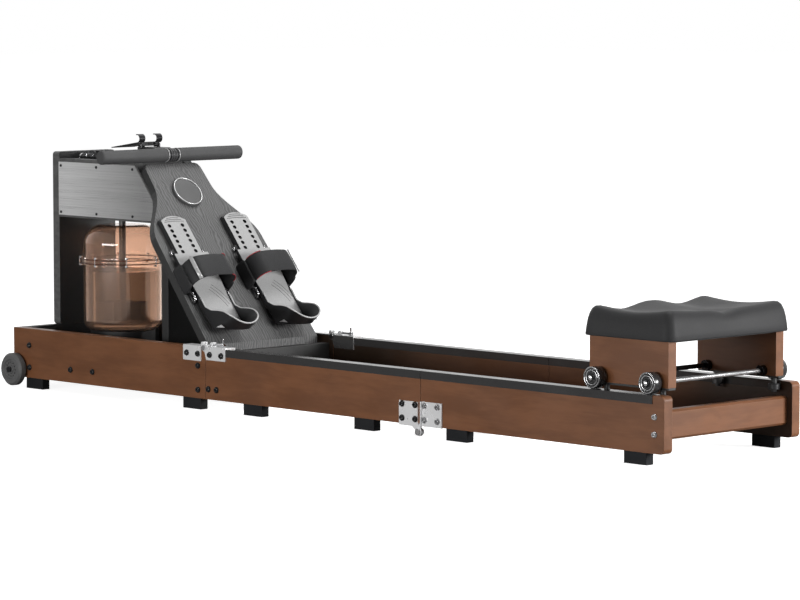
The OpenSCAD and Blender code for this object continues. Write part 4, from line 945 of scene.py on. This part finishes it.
# %% World
WORLD_FILL = 0.14
AWAY_FROM_CAMERA = (-0.71, 0.70, 0.0)


def seen_straight(tree):
    """1 for a ray from the camera, also through glass."""
    path = tree.node("LightPath", out=None).outputs
    return tree.math("MAXIMUM", path["Is Camera Ray"], path["Is Transmission Ray"])


world = bpy.data.worlds.new("studio")
bpy.context.scene.world = world
world.use_nodes = True
world.node_tree.nodes.clear()
sky = Tree(world.node_tree)
path = sky.node("LightPath", out=None).outputs
behind = sky.vector("DOT_PRODUCT", sky.node("TexCoord", out="Generated"), AWAY_FROM_CAMERA, out="Value")
mirrored = sky.math("SUBTRACT", sky.span(behind, -0.1, 0.75, 0.2, 1.0), WORLD_FILL)
level = sky.math("MULTIPLY_ADD", path["Is Glossy Ray"], mirrored, WORLD_FILL)
sky.node("OutputWorld", sky.node("Background", (1, 1, 1), sky.math("MAXIMUM", level, seen_straight(sky))))
print("world", world.name)


# %% Lamps
def panel(name, spot, aim, size, watts):
    lamp = bpy.data.lights.new(name, "AREA")
    lamp.shape = "RECTANGLE"
    lamp.size, lamp.size_y = size
    lamp.energy = watts
    holder = bpy.data.objects.new(name, lamp)
    bpy.context.scene.collection.objects.link(holder)
    holder.location = spot
    holder.rotation_euler = (Vector(aim) - Vector(spot)).to_track_quat("-Z", "Y").to_euler()
    return holder


panel("panel_seat_end", (4.4, 1.9, 1.0), (0.5, 0, 0.2), (1.8, 1.2), 240)
panel("panel_above", (0.4, 0.6, 3.2), (0, 0, 0.2), (3.0, 1.4), 70)
panel("panel_near", (0.2, -3.8, 0.5), (0, 0, 0.22), (3.6, 0.5), 92)
print("three panels lit")


# %% Floor
FLOOR_Z, FLOOR_GLOW = -0.0005, 0.895


def build_floor():
    """Nearly white where the camera sees it, and a plain grey for the light it throws back."""
    made = bpy.data.materials.new("pale_floor")
    made.use_nodes = True
    made.node_tree.nodes.clear()
    tree = Tree(made.node_tree)
    shaded = tree.node("BsdfDiffuse", (0.8, 0.8, 0.8))
    glow = tree.node("Emission", (1, 1, 1), FLOOR_GLOW)
    studio = tree.node("AddShader", shaded, glow)
    plain = tree.node("BsdfDiffuse", (0.3, 0.3, 0.3))
    tree.node("OutputMaterial", tree.node("MixShader", seen_straight(tree), plain, studio))
    return made


floor_mesh = bpy.data.meshes.new("floor")
shape = bmesh.new()
bmesh.ops.create_grid(shape, x_segments=1, y_segments=1, size=30)
shape.to_mesh(floor_mesh)
shape.free()
floor_mesh.materials.append(build_floor())
floor = bpy.data.objects.new("floor", floor_mesh)
floor.location.z = FLOOR_Z
bpy.context.scene.collection.objects.link(floor)
print("floor laid")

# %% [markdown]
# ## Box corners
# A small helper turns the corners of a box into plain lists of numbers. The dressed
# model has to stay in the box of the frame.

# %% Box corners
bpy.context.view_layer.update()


def plain(box):
    return [list(map(float, corner)) for corner in box]
